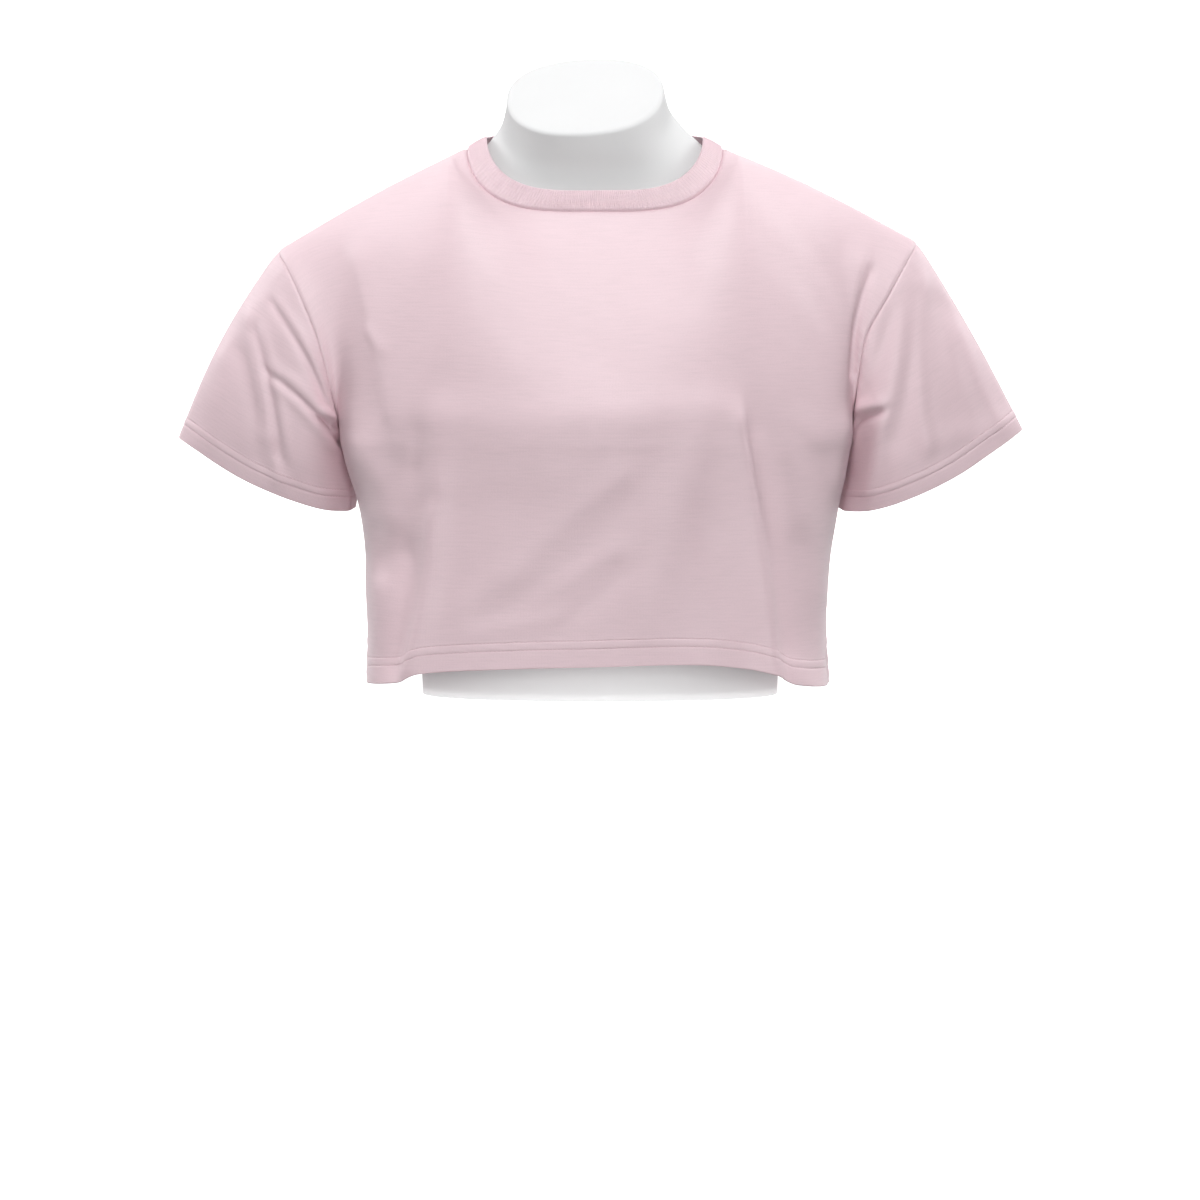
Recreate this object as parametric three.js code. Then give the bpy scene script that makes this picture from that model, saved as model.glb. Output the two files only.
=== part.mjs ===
import * as THREE from "three";

// A short-sleeved crop top of cotton jersey on a limbless dress form.
// Millimetres, +Z up. The front faces -Y and +X is at the viewer's right.
// The origin is the centre of the dress form's flat base.

// Sizes of the cloth
const CLOTH_WALL = 1.4;
const HEM_WALL = 2.0;
const BAND_WALL = 2.0;
const HALF_SEAM_GAP = 0.18;
const HEM_DEPTH = 21;
const MITRE_LIMIT = 0.7;

// Sizes of the trunk and the neck opening
const SIDE_Y = 2;
const UNDERARM_Z = 202;
const NECK_HALF = 105;
const NECK_Y = 6;
const NECK_Z = 434;
const NECK_SHARE = 0.4;
const NECK_SQUARE = 3.8;
const NECK_DROP_POWER = 2;
const SHOULDER_RISE = 3;
const NECK_SIDE_ROUND = 0.12;
const EDGE_POWER = 4;
const CROWN_SOFTNESS = 0.36;
const NECK_PUSH = 60;

// Sizes of the sleeves
const SLEEVE_OUT = { left: 6.5, right: 2.5 };
const SLEEVE_HUG = { left: 6, right: -1.5 };
const SLEEVE_EASE = 8;
const SLEEVE_EASE_SHARE = 0.7;
const SLEEVE_EASE_POWER = 0.5;
const SLEEVE_BACK = 14;
const SLEEVE_BACK_START = 0.2;
const SLEEVE_SWELL = 7;
const CUFF_BACK_RISE = 5;
const CUFF_HEM_SHARE = 0.14;

// Sizes of the neckband's free edge
const BAND_HALF = 89;
const BAND_FRONT = 58;
const BAND_BACK = 49;
const BAND_Z = 443;
const BAND_DROP = 44;
const BAND_BACK_RISE = 5;

// How many steps each grid has
const STEPS = { shoulder: 10, neck: 18, trunk: 12, chest: 15, sleeve: 12, band: 3 };

// Horizontal sections of the trunk, from the floor to the underarm.
// left, right: half widths. front, back: depths from the side seam.
// frontSquare, backSquare: exponents of the section, 2 for an ellipse.
const TRUNK = {
  z: [0, 60, 110, 150, 180, 202],
  left: [187, 185.5, 183, 188, 198, 205],
  right: [184, 181, 183.5, 189.5, 194.3, 198],
  front: [115, 114, 116, 120, 125, 128],
  back: [88, 90, 94, 97, 99, 100],
  frontSquare: [4.4, 3.7, 3.1, 2.7, 2.45, 2.35],
  backSquare: [2.9, 2.8, 2.6, 2.4, 2.3, 2.2],
};

// Height of the free bottom edge from the left side seam (-1) to the right (1).
const FRONT_HEM = {
  across: [-1, -0.75, -0.5, -0.44, -0.25, 0, 0.25, 0.375, 0.44, 0.5, 0.75, 1],
  z: [8, 12, 17, 24, 28, 30, 31.5, 28, 22.5, 15, 10.5, 8],
};
const BACK_HEM = {
  across: [-1, -0.6, -0.3, 0, 0.3, 0.6, 1],
  z: [8, 10, 11, 11.5, 11, 10, 8],
};

const FACES = {
  front: {
    out: -1, depth: "front", square: "frontSquare", hem: FRONT_HEM,
    neckDepth: 66, neckDrop: 51.5, edgeX: "frontX", edgeY: "frontY",
  },
  back: {
    out: 1, depth: "back", square: "backSquare", hem: BACK_HEM,
    neckDepth: 54, neckDrop: 3, edgeX: "backX", edgeY: "backY",
  },
};

// Armhole seams from the underarm (rise 0) to the shoulder tip (rise 1).
const ARMHOLE = {
  left: {
    rise: [0, 0.1, 0.22, 0.4, 0.6, 0.78, 0.9, 0.97, 1],
    z: [202, 210, 226, 251, 284, 315, 339, 351, 353],
    frontX: [205, 205.7, 208, 213, 222, 235, 247, 254.5, 256],
    frontY: [2, -14, -29, -42, -46, -39, -25, -10, 2],
    backX: [205, 206, 209, 214, 223, 236, 248, 254.5, 256],
    backY: [2, 18, 34, 48, 52, 44, 29, 14, 2],
  },
  right: {
    rise: [0, 0.1, 0.22, 0.4, 0.6, 0.78, 0.9, 0.97, 1],
    z: [202, 210, 226, 251, 285, 319, 345, 357.5, 359.6],
    frontX: [198, 199, 200.5, 203, 209, 228, 243, 250.5, 252],
    frontY: [2, -11, -22, -32, -38, -34, -22, -10, 2],
    backX: [198, 199, 202, 208, 218, 232, 244, 250.5, 252],
    backY: [2, 18, 34, 48, 52, 44, 29, 14, 2],
  },
};

// Cuff edges from the inner corner (turn 0) to the outer corner (turn 1).
const CUFF = {
  left: {
    turn: [0, 0.1, 0.25, 0.45, 0.65, 0.85, 0.96, 1],
    x: [196, 201, 221, 254, 288, 320, 334, 336],
    z: [148, 145.2, 147.5, 158.5, 174.4, 194.5, 203, 204],
    depth: [0, 14, 24, 30, 28, 19, 8.5, 0],
  },
  right: {
    turn: [0, 0.1, 0.25, 0.45, 0.65, 0.85, 0.96, 1],
    x: [191, 196, 216, 246, 283, 320, 335, 337],
    z: [148, 145.5, 146.5, 156.5, 174.5, 199, 209.5, 210.5],
    depth: [0, 14, 24, 30, 28, 19, 8.5, 0],
  },
};

// Folds: a soft ridge (rise above 0) or trough (rise below 0) along a bowed line in the
// view from the front, from x0, z0 to x1, z1, with its half width and its bow to the left.
const FRONT_FOLDS = [
  { name: "bust line", x0: -112, z0: 226, x1: 78, z1: 230, bow: 5, width: 18, rise: 4 },
  { name: "left crest", x0: -124, z0: 222, x1: -149, z1: 14, bow: -3, width: 13, rise: 6.5 },
  { name: "left crest hollow", x0: -142, z0: 208, x1: -156, z1: 40, bow: 9, width: 14, rise: -5 },
  { name: "right crest", x0: 103, z0: 218, x1: 140, z1: 14, bow: 0, width: 13, rise: 7 },
  { name: "right crest hollow", x0: 120, z0: 198, x1: 154, z1: 30, bow: 0, width: 14, rise: -5 },
  { name: "right low hollow", x0: 84, z0: 132, x1: 112, z1: 50, bow: 4, width: 14, rise: -4 },
  { name: "middle ridge", x0: 80, z0: 220, x1: 36, z1: 70, bow: 0, width: 16, rise: 5 },
  { name: "middle trough", x0: 58, z0: 214, x1: -48, z1: 90, bow: -9, width: 14, rise: -5 },
  { name: "slanting ridge", x0: 14, z0: 176, x1: -70, z1: 106, bow: 2, width: 14, rise: 3 },
  { name: "lower ridge", x0: 2, z0: 116, x1: -42, z1: 82, bow: 2, width: 13, rise: 2.5 },
  { name: "left shoulder drag", x0: -196, z0: 342, x1: -162, z1: 216, bow: 5, width: 10, rise: -4 },
  { name: "left shoulder ridge", x0: -180, z0: 342, x1: -146, z1: 222, bow: 5, width: 12, rise: 3 },
  { name: "left underarm bulge", x0: -190, z0: 222, x1: -176, z1: 172, bow: 2, width: 12, rise: 4 },
  { name: "right armhole roll", x0: 203, z0: 322, x1: 187, z1: 196, bow: -3, width: 12, rise: 6 },
  { name: "right armhole trough", x0: 180, z0: 326, x1: 176, z1: 236, bow: 0, width: 12, rise: -3 },
  { name: "right underarm bump", x0: 160, z0: 212, x1: 182, z1: 204, bow: 2, width: 11, rise: 4 },
];
const BACK_FOLDS = [
  { name: "left drape", x0: -96, z0: 236, x1: -118, z1: 18, bow: -4, width: 20, rise: 5 },
  { name: "left drape hollow", x0: -66, z0: 226, x1: -80, z1: 18, bow: -2, width: 19, rise: -4 },
  { name: "middle drape", x0: -26, z0: 210, x1: -34, z1: 22, bow: 3, width: 18, rise: 3.5 },
  { name: "right hollow", x0: 24, z0: 226, x1: 30, z1: 18, bow: 2, width: 20, rise: -4 },
  { name: "right drape", x0: 84, z0: 240, x1: 104, z1: 18, bow: 4, width: 20, rise: 5 },
  { name: "right side hollow", x0: 136, z0: 190, x1: 144, z1: 20, bow: 0, width: 18, rise: -4 },
  { name: "left blade drag", x0: -186, z0: 330, x1: -140, z1: 214, bow: 8, width: 13, rise: -4 },
  { name: "right blade drag", x0: 184, z0: 326, x1: 136, z1: 220, bow: -8, width: 13, rise: -4 },
  { name: "collar sag", x0: -52, z0: 392, x1: 52, z1: 392, bow: 10, width: 13, rise: -2.5 },
];
const SLEEVE_FOLDS = {
  left: {
    front: [
      { name: "outer hollow", x0: -282, z0: 306, x1: -284, z1: 206, bow: 3, width: 14, rise: -5 },
      { name: "outer ridge", x0: -264, z0: 312, x1: -266, z1: 214, bow: 3, width: 11, rise: 4 },
      { name: "upper crease", x0: -256, z0: 312, x1: -214, z1: 226, bow: 5, width: 9, rise: -4.5 },
      { name: "fold between", x0: -246, z0: 268, x1: -222, z1: 228, bow: 2, width: 9, rise: 5 },
      { name: "lower crease", x0: -260, z0: 256, x1: -210, z1: 203, bow: -4, width: 9, rise: -5 },
      { name: "inner hollow", x0: -208, z0: 214, x1: -204, z1: 156, bow: 0, width: 11, rise: -5 },
      { name: "cuff crease", x0: -278, z0: 212, x1: -260, z1: 184, bow: 2, width: 9, rise: -3 },
    ],
    back: [
      { name: "outer hollow", x0: -290, z0: 300, x1: -292, z1: 212, bow: 2, width: 15, rise: -4 },
      { name: "slant", x0: -262, z0: 290, x1: -214, z1: 214, bow: 4, width: 12, rise: -4.5 },
      { name: "slant ridge", x0: -262, z0: 262, x1: -224, z1: 204, bow: 3, width: 11, rise: 4 },
    ],
  },
  right: {
    front: [
      { name: "ridge", x0: 258, z0: 312, x1: 266, z1: 230, bow: 0, width: 11, rise: 5 },
      { name: "outer hollow", x0: 274, z0: 302, x1: 296, z1: 212, bow: 2, width: 12, rise: -5.5 },
      { name: "outer crease", x0: 300, z0: 262, x1: 312, z1: 226, bow: 0, width: 10, rise: 3 },
      { name: "inner ridge", x0: 240, z0: 312, x1: 220, z1: 234, bow: -4, width: 9, rise: 4 },
      { name: "upper crease", x0: 236, z0: 300, x1: 206, z1: 234, bow: -4, width: 9, rise: -4 },
      { name: "tucked bump", x0: 206, z0: 224, x1: 224, z1: 228, bow: 2, width: 9, rise: 4.5 },
      { name: "pocket", x0: 208, z0: 208, x1: 206, z1: 156, bow: 0, width: 11, rise: -5.5 },
    ],
    back: [
      { name: "outer hollow", x0: 288, z0: 304, x1: 292, z1: 214, bow: -2, width: 15, rise: -4 },
      { name: "slant", x0: 258, z0: 296, x1: 212, z1: 216, bow: -4, width: 12, rise: -4.5 },
      { name: "slant ridge", x0: 258, z0: 264, x1: 222, z1: 206, bow: -3, width: 11, rise: 4 },
    ],
  },
};

// Sizes of the dress form. Its rows go up from the flat base to the underarm.
const FORM_TRUNK = {
  z: [0, 40, 90, 140, 180, 202],
  left: [142, 144, 150, 158, 164, 167],
  right: [142, 144, 150, 158, 164, 167],
  front: [78, 82, 92, 104, 109, 110],
  back: [76, 77, 80, 84, 87, 88],
};
const FORM_CLEAR = 1.25;
const FORM_TIP_SHARE = 0.72;
const FORM_SHOULDER_BULGE = 9;

// Rings of the form's neck from the collar to the slanting cap: the places of their left,
// right, front and back ends, and the heights of these ends.
const FORM_NECK = {
  ring: [0, 1, 2, 3, 4],
  left: [-90, -80, -77, -75.5, -73.6],
  right: [86, 77, 68, 60, 50],
  front: [-49, -47.5, -49, -53, -56],
  back: [52, 50, 49, 50, 52],
  leftZ: [427, 434, 446, 458, 470],
  rightZ: [429, 436, 446, 459, 482],
  frontZ: [390, 400, 414, 430, 443],
  backZ: [436, 450, 470, 490, 508],
};
const FORM_SQUARE = 2.3;
const FORM_STEPS = { shoulder: 4, neck: 12, cap: 4, trunk: 8, chest: 14 };

const add = (a, b) => [a[0] + b[0], a[1] + b[1], a[2] + b[2]];
const sub = (a, b) => [a[0] - b[0], a[1] - b[1], a[2] - b[2]];
const scale = (a, k) => [a[0] * k, a[1] * k, a[2] * k];
const dot = (a, b) => a[0] * b[0] + a[1] * b[1] + a[2] * b[2];
const cross = (a, b) => [
  a[1] * b[2] - a[2] * b[1],
  a[2] * b[0] - a[0] * b[2],
  a[0] * b[1] - a[1] * b[0],
];
const unit = (a) => scale(a, 1 / (Math.hypot(...a) || 1));
const mix = (a, b, t) => add(scale(a, 1 - t), scale(b, t));
const clamp = (t, low = 0, high = 1) => Math.min(high, Math.max(low, t));
const smooth = (t) => clamp(t) ** 2 * (3 - 2 * clamp(t));
const handOf = (u) => (u < 0 ? "left" : "right");
const signOf = (hand) => (hand === "left" ? -1 : 1);

// A column of a table between its rows, as a Catmull-Rom curve over another column.
function follow(table, by, column, place) {
  const keys = table[by];
  const values = table[column];
  const last = keys.length - 1;
  const t = clamp(place, keys[0], keys[last]);
  let i = 0;
  while (i < last - 1 && t >= keys[i + 1]) {
    i += 1;
  }
  const slope = (k) => {
    const a = Math.max(0, k - 1);
    const b = Math.min(last, k + 1);
    return (values[b] - values[a]) / (keys[b] - keys[a]);
  };
  const span = keys[i + 1] - keys[i];
  const q = (t - keys[i]) / span;
  return (1 + 2 * q) * (1 - q) ** 2 * values[i] + q * (1 - q) ** 2 * span * slope(i)
    + q * q * (3 - 2 * q) * values[i + 1] + q * q * (q - 1) * span * slope(i + 1);
}

// Radius of a superellipse of unit half axes in the direction of an angle.
function squareRadius(angle, square) {
  const sum = Math.abs(Math.sin(angle)) ** square + Math.abs(Math.cos(angle)) ** square;
  return sum ** (-1 / square);
}

// A point of the trunk: u goes from -1 at the left side seam to 1 at the right.
function trunkPoint(face, u, z) {
  const angle = u * Math.PI / 2;
  const r = squareRadius(angle, follow(TRUNK, "z", face.square, z));
  const half = follow(TRUNK, "z", handOf(u), z);
  const depth = follow(TRUNK, "z", face.depth, z) - face.out * SIDE_Y;
  return [half * r * Math.sin(angle), SIDE_Y + face.out * depth * r * Math.cos(angle), z];
}

function armholePoint(hand, face, rise) {
  const table = ARMHOLE[hand];
  return [
    signOf(hand) * follow(table, "rise", face.edgeX, rise),
    follow(table, "rise", face.edgeY, rise),
    follow(table, "rise", "z", rise),
  ];
}

// The panel's top edge: the neckline in the middle and a shoulder seam at each side.
function crownPoint(face, u) {
  if (Math.abs(u) <= NECK_SHARE) {
    const angle = u / NECK_SHARE * Math.PI / 2;
    const r = squareRadius(angle, NECK_SQUARE);
    return [
      NECK_HALF * r * Math.sin(angle),
      NECK_Y + face.out * face.neckDepth * r * Math.cos(angle),
      NECK_Z - face.neckDrop * (r * Math.cos(angle)) ** NECK_DROP_POWER,
    ];
  }
  const tip = armholePoint(handOf(u), face, 1);
  const t = (Math.abs(u) - NECK_SHARE) / (1 - NECK_SHARE);
  const neck = [signOf(handOf(u)) * NECK_HALF, NECK_Y, NECK_Z];
  return add(mix(neck, tip, t), [0, 0, SHOULDER_RISE * Math.sin(Math.PI * t)]);
}

// The crown with its corners softened by averaging over a share of the panel's width.
function softCrownPoint(face, u, width) {
  let sum = [0, 0, 0];
  let weight = 0;
  for (let k = -4; k <= 4; k += 1) {
    const share = 1 - Math.abs(k) / 5;
    const place = u + width * k / 4;
    const over = Math.max(0, Math.abs(place) - 1) * Math.sign(place);
    const inside = crownPoint(face, place - over);
    const mirrored = crownPoint(face, place - 2 * over);
    sum = add(sum, scale(sub(scale(inside, 2), mirrored), share));
    weight += share;
  }
  return scale(sum, 1 / weight);
}

// From the underarm level to the crown the panel rises straight at the middle of the
// neckline, and rounds over like a quarter ellipse at the shoulders.
function riseBetween(low, top, u, s) {
  const ramp = s * s * 1.18 / (s + 0.18);
  const round = NECK_SIDE_ROUND + (1 - NECK_SIDE_ROUND) * smooth(Math.abs(u) / NECK_SHARE);
  const forY = ramp + (1 - Math.cos(s * Math.PI / 2) - ramp) * round;
  const forZ = s + (Math.sin(s * Math.PI / 2) - s) * round;
  return [
    low[0] + (top[0] - low[0]) * s,
    low[1] + (top[1] - low[1]) * forY,
    low[2] + (top[2] - low[2]) * forZ,
  ];
}

// Beside the neckline the columns spread, so that they meet it at an angle.
function chestPoint(face, u, s) {
  const hand = handOf(u);
  const edge = signOf(hand);
  const soft = CROWN_SOFTNESS * (1 - s) ** 0.7;
  const point = riseBetween(
    trunkPoint(face, u, UNDERARM_Z), softCrownPoint(face, u, soft), u, s);
  const plain = riseBetween(
    trunkPoint(face, edge, UNDERARM_Z), softCrownPoint(face, edge, soft), edge, s);
  const seam = armholePoint(hand, face, s);
  const below = 1 - s;
  const beside = Math.exp(-(((Math.abs(u) - NECK_SHARE + 0.04) / 0.12) ** 2));
  const push = NECK_PUSH * Math.sqrt(below) * Math.exp(-below / 0.15) * beside;
  const spread = add(point, [edge * push, 0, -push / 2]);
  return add(spread, scale(sub(seam, plain), Math.abs(u) ** EDGE_POWER));
}

// A point of a body panel: v is 0 to 1 from the hem to the underarm, 1 to 2 above it.
function panelPoint(face, u, v) {
  if (v >= 1) {
    return chestPoint(face, u, v - 1);
  }
  const hem = follow(face.hem, "across", "z", u);
  return trunkPoint(face, u, hem + (UNDERARM_Z - hem) * v);
}

function cuffPoint(hand, face, turn) {
  const table = CUFF[hand];
  const lift = face.out > 0 ? CUFF_BACK_RISE * Math.sin(Math.PI * turn) : 0;
  return [
    signOf(hand) * follow(table, "turn", "x", turn),
    SIDE_Y + face.out * follow(table, "turn", "depth", turn),
    follow(table, "turn", "z", turn) + lift,
  ];
}

// A point of a sleeve: turn is 0 under the arm and 1 at the shoulder, and along is 0 at
// the armhole and 1 at the cuff. Between its ends the sleeve swells a little. Under the arm
// it hugs the trunk's side and lies further back.
function sleevePoint(hand, face, turn, along) {
  const line = mix(armholePoint(hand, face, turn), cuffPoint(hand, face, turn), along);
  const arc = Math.sin(Math.PI * along);
  const out = SLEEVE_OUT[hand] * turn * turn * arc;
  const early = clamp(along / SLEEVE_EASE_SHARE) ** SLEEVE_EASE_POWER;
  const ease = SLEEVE_EASE * Math.sin(Math.PI * early);
  const hug = (SLEEVE_HUG[hand] * arc * along - ease) * (1 - turn) ** 2;
  const late = smooth((along - SLEEVE_BACK_START) / 0.45);
  const backward = SLEEVE_BACK * (1 - turn) ** 3 * late;
  const swell = SLEEVE_SWELL * Math.sin(Math.PI * turn) * arc;
  const shift = [
    signOf(hand) * (0.88 * out - hug),
    face.out * swell + backward,
    0.47 * out,
  ];
  return add(line, shift);
}

// Outward shift of the cloth by its folds at a point, in the view from the front.
function foldRise(folds, x, z) {
  let rise = 0;
  for (const fold of folds) {
    const length = Math.hypot(fold.x1 - fold.x0, fold.z1 - fold.z0);
    const dirX = (fold.x1 - fold.x0) / length;
    const dirZ = (fold.z1 - fold.z0) / length;
    const along = ((x - fold.x0) * dirX + (z - fold.z0) * dirZ) / length;
    const aside = (x - fold.x0) * dirZ - (z - fold.z0) * dirX;
    const offset = aside - fold.bow * 4 * clamp(along) * (1 - clamp(along));
    const past = Math.max(0, -along, along - 1) * length;
    const reach = (offset / fold.width) ** 2 + (past / fold.width) ** 2;
    rise += fold.rise * Math.exp(-reach);
  }
  return rise;
}

// A grid of points with the outward normals found from its neighbours.
// Rows go along the second parameter. A ring's last column joins its first.
function makeGrid(rows, ring, outward) {
  const count = rows[0].length;
  const normals = rows.map((row, j) => row.map((point, i) => {
    const before = ring ? row[(i + count - 1) % count] : row[Math.max(0, i - 1)];
    const after = ring ? row[(i + 1) % count] : row[Math.min(count - 1, i + 1)];
    const below = rows[Math.max(0, j - 1)][i];
    const above = rows[Math.min(rows.length - 1, j + 1)][i];
    return scale(unit(cross(sub(after, before), sub(above, below))), outward);
  }));
  return { rows, ring, normals, outward };
}

function shiftGrid(grid, riseAt) {
  const rows = grid.rows.map((row, j) => row.map((point, i) => (
    add(point, scale(grid.normals[j][i], riseAt(point, i, j))))));
  return makeGrid(rows, grid.ring, grid.outward);
}

const span = (from, to, steps) => (
  Array.from({ length: steps + 1 }, (_, i) => from + (to - from) * i / steps));

// Columns of a body panel, and the rows of a panel from its hem to its crown.
const COLUMNS = [
  ...span(-1, -NECK_SHARE, STEPS.shoulder).slice(0, -1),
  ...span(-NECK_SHARE, NECK_SHARE, STEPS.neck),
  ...span(NECK_SHARE, 1, STEPS.shoulder).slice(1),
];
const CHEST_LEVELS = span(0, 1, STEPS.chest).map((t) => 0.75 * t + 0.25 * smooth(t));
const NECK_FIRST = STEPS.shoulder;
const NECK_LAST = STEPS.shoulder + STEPS.neck;
const HEM_V = HEM_DEPTH / (UNDERARM_Z - 10);

function panelGrid(face, folds) {
  const levels = [0, HEM_V, ...span(HEM_V, 1, STEPS.trunk).slice(1)];
  const rows = [...levels, ...CHEST_LEVELS.slice(1).map((s) => 1 + s)];
  const base = makeGrid(
    rows.map((v) => COLUMNS.map((u) => panelPoint(face, u, v))), false, -face.out);
  const riseAt = (point, i, j) => {
    const sideFade = smooth((1 - Math.abs(COLUMNS[i])) / 0.13);
    const topFade = smooth((2 - rows[j]) / 0.25);
    return foldRise(folds, point[0], point[2]) * sideFade * topFade;
  };
  return shiftGrid(base, riseAt);
}

// A sleeve's ring goes from the underarm up the front to the shoulder and down the back.
function sleeveGrid(hand) {
  const front = CHEST_LEVELS.map((turn) => ({ face: FACES.front, side: "front", turn }));
  const back = CHEST_LEVELS.slice(1, -1).reverse()
    .map((turn) => ({ face: FACES.back, side: "back", turn }));
  const around = [...front, ...back];
  const shares = [...span(0, 1 - CUFF_HEM_SHARE, STEPS.sleeve), 1];
  const base = makeGrid(
    shares.map((along) => around.map((at) => sleevePoint(hand, at.face, at.turn, along))),
    true, -signOf(hand));
  const riseAt = (point, i, j) => {
    const folds = SLEEVE_FOLDS[hand][around[i].side];
    const fade = smooth(shares[j] / 0.12) * smooth(around[i].turn * (1 - around[i].turn) * 9);
    return foldRise(folds, point[0], point[2]) * fade;
  };
  return shiftGrid(base, riseAt);
}

// The neckband's ring follows the necklines, front from left to right, then the back.
function bandGrid(frontGrid, backGrid) {
  const neckline = (grid) => grid.rows.at(-1).slice(NECK_FIRST, NECK_LAST + 1);
  const seam = [
    ...neckline(frontGrid),
    ...neckline(backGrid).slice(1, -1).reverse(),
  ];
  const columns = COLUMNS.slice(NECK_FIRST, NECK_LAST + 1);
  const places = [
    ...columns.map((u) => ({ u, front: true })),
    ...columns.slice(1, -1).reverse().map((u) => ({ u, front: false })),
  ];
  const top = places.map(({ u, front }) => {
    const angle = u / NECK_SHARE * Math.PI / 2;
    const r = squareRadius(angle, NECK_SQUARE);
    const y = front ? -BAND_FRONT : BAND_BACK;
    const z = front ? -BAND_DROP : BAND_BACK_RISE;
    return [
      BAND_HALF * r * Math.sin(angle),
      NECK_Y + y * r * Math.cos(angle),
      BAND_Z + z * (r * Math.cos(angle)) ** NECK_DROP_POWER,
    ];
  });
  const rows = span(0, 1, STEPS.band).map((t) => seam.map((point, i) => mix(point, top[i], t)));
  return makeGrid(rows, true, 1);
}

// Where pieces meet, they share one seam normal, the mean of their own.
const seamNormals = new Map();
const keyOf = (point) => point.map((value) => Math.round(value * 100)).join();

function isEdge(grid, i, j) {
  const sides = !grid.ring && (i === 0 || i === grid.rows[0].length - 1);
  return sides || j === 0 || j === grid.rows.length - 1;
}

function noteSeams(grid) {
  grid.rows.forEach((row, j) => row.forEach((point, i) => {
    if (isEdge(grid, i, j)) {
      const key = keyOf(point);
      const sum = seamNormals.get(key) ?? { normal: [0, 0, 0], count: 0 };
      sum.normal = add(sum.normal, grid.normals[j][i]);
      sum.count += 1;
      seamNormals.set(key, sum);
    }
  }));
}

// Shift of a seam point into its own piece, square to the seam and to its normal.
function insetAt(grid, i, j, normal) {
  const row = grid.rows[j];
  const count = row.length;
  let shift = [0, 0, 0];
  const push = (before, after, inside) => {
    const way = unit(cross(unit(sub(after, before)), normal));
    const sign = dot(way, sub(inside, row[i])) < 0 ? -1 : 1;
    shift = add(shift, scale(way, sign * HALF_SEAM_GAP));
  };
  if (j === 0 || j === grid.rows.length - 1) {
    const inside = grid.rows[j === 0 ? 1 : j - 1][i];
    const before = grid.ring ? row[(i + count - 1) % count] : row[Math.max(0, i - 1)];
    const after = grid.ring ? row[(i + 1) % count] : row[Math.min(count - 1, i + 1)];
    const fromNeck = add(row[i], [row[i][0], row[i][1] - NECK_Y, 0]);
    const first = i === NECK_FIRST;
    const last = i === NECK_LAST;
    if (grid.ring || j === 0 || i < NECK_FIRST || i > NECK_LAST) {
      push(before, after, inside);
    } else if (first || last) {
      push(first ? row[i] : before, first ? after : row[i], fromNeck);
      push(first ? before : row[i], first ? row[i] : after, inside);
    } else {
      push(before, after, fromNeck);
    }
  }
  if (!grid.ring && (i === 0 || i === count - 1)) {
    const before = grid.rows[Math.max(0, j - 1)][i];
    const after = grid.rows[Math.min(grid.rows.length - 1, j + 1)][i];
    push(before, after, row[i === 0 ? 1 : count - 2]);
  }
  return shift;
}

function meshFrom(name, positions, faces, colour, roughness) {
  const geometry = new THREE.BufferGeometry();
  geometry.setAttribute("position", new THREE.Float32BufferAttribute(positions.flat(), 3));
  geometry.setIndex(faces.flat());
  geometry.computeVertexNormals();
  const material = new THREE.MeshStandardMaterial({ color: colour, roughness, metalness: 0 });
  const mesh = new THREE.Mesh(geometry, material);
  mesh.name = name;
  return mesh;
}

// A closed wall on both sides of a grid. Shared seam points are set back and mitred.
function wallMesh(name, grid, wallAt, colour) {
  const outer = [];
  const inner = [];
  grid.rows.forEach((row, j) => row.forEach((point, i) => {
    const own = grid.normals[j][i];
    const shared = isEdge(grid, i, j) ? seamNormals.get(keyOf(point)) : undefined;
    const joined = shared !== undefined && shared.count > 1;
    const normal = joined ? unit(shared.normal) : own;
    const middle = joined ? add(point, insetAt(grid, i, j, normal)) : point;
    const half = wallAt(j) / 2 / Math.max(MITRE_LIMIT, dot(normal, own));
    outer.push(add(middle, scale(normal, half)));
    inner.push(sub(middle, scale(normal, half)));
  }));
  const width = grid.rows[0].length;
  const height = grid.rows.length;
  const total = width * height;
  const faces = [];
  const quad = (a, b, c, d) => {
    const turned = grid.outward > 0 ? [[a, b, c], [a, c, d]] : [[a, c, b], [a, d, c]];
    faces.push(...turned);
  };
  const lastColumn = grid.ring ? width : width - 1;
  for (let j = 0; j < height - 1; j += 1) {
    for (let i = 0; i < lastColumn; i += 1) {
      const next = (i + 1) % width;
      const a = j * width + i;
      const b = j * width + next;
      const c = b + width;
      const d = a + width;
      quad(a, b, c, d);
      quad(total + b, total + a, total + d, total + c);
    }
  }
  for (let i = 0; i < lastColumn; i += 1) {
    const next = (i + 1) % width;
    const top = (height - 1) * width;
    quad(total + i, total + next, next, i);
    quad(top + i, top + next, total + top + next, total + top + i);
  }
  if (!grid.ring) {
    for (let j = 0; j < height - 1; j += 1) {
      const left = j * width;
      const right = left + width - 1;
      quad(left, left + width, total + left + width, total + left);
      quad(total + right, total + right + width, right + width, right);
    }
  }
  return meshFrom(name, [...outer, ...inner], faces, colour, 0.9);
}

// The form's trunk has plain elliptic sections of its own.
function formTrunkPoint(face, u, z) {
  const angle = u * Math.PI / 2;
  const half = follow(FORM_TRUNK, "z", handOf(u), z);
  const depth = follow(FORM_TRUNK, "z", face.depth, z);
  const r = squareRadius(angle, FORM_SQUARE);
  return [half * r * Math.sin(angle), SIDE_Y + face.out * depth * r * Math.cos(angle), z];
}

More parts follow.
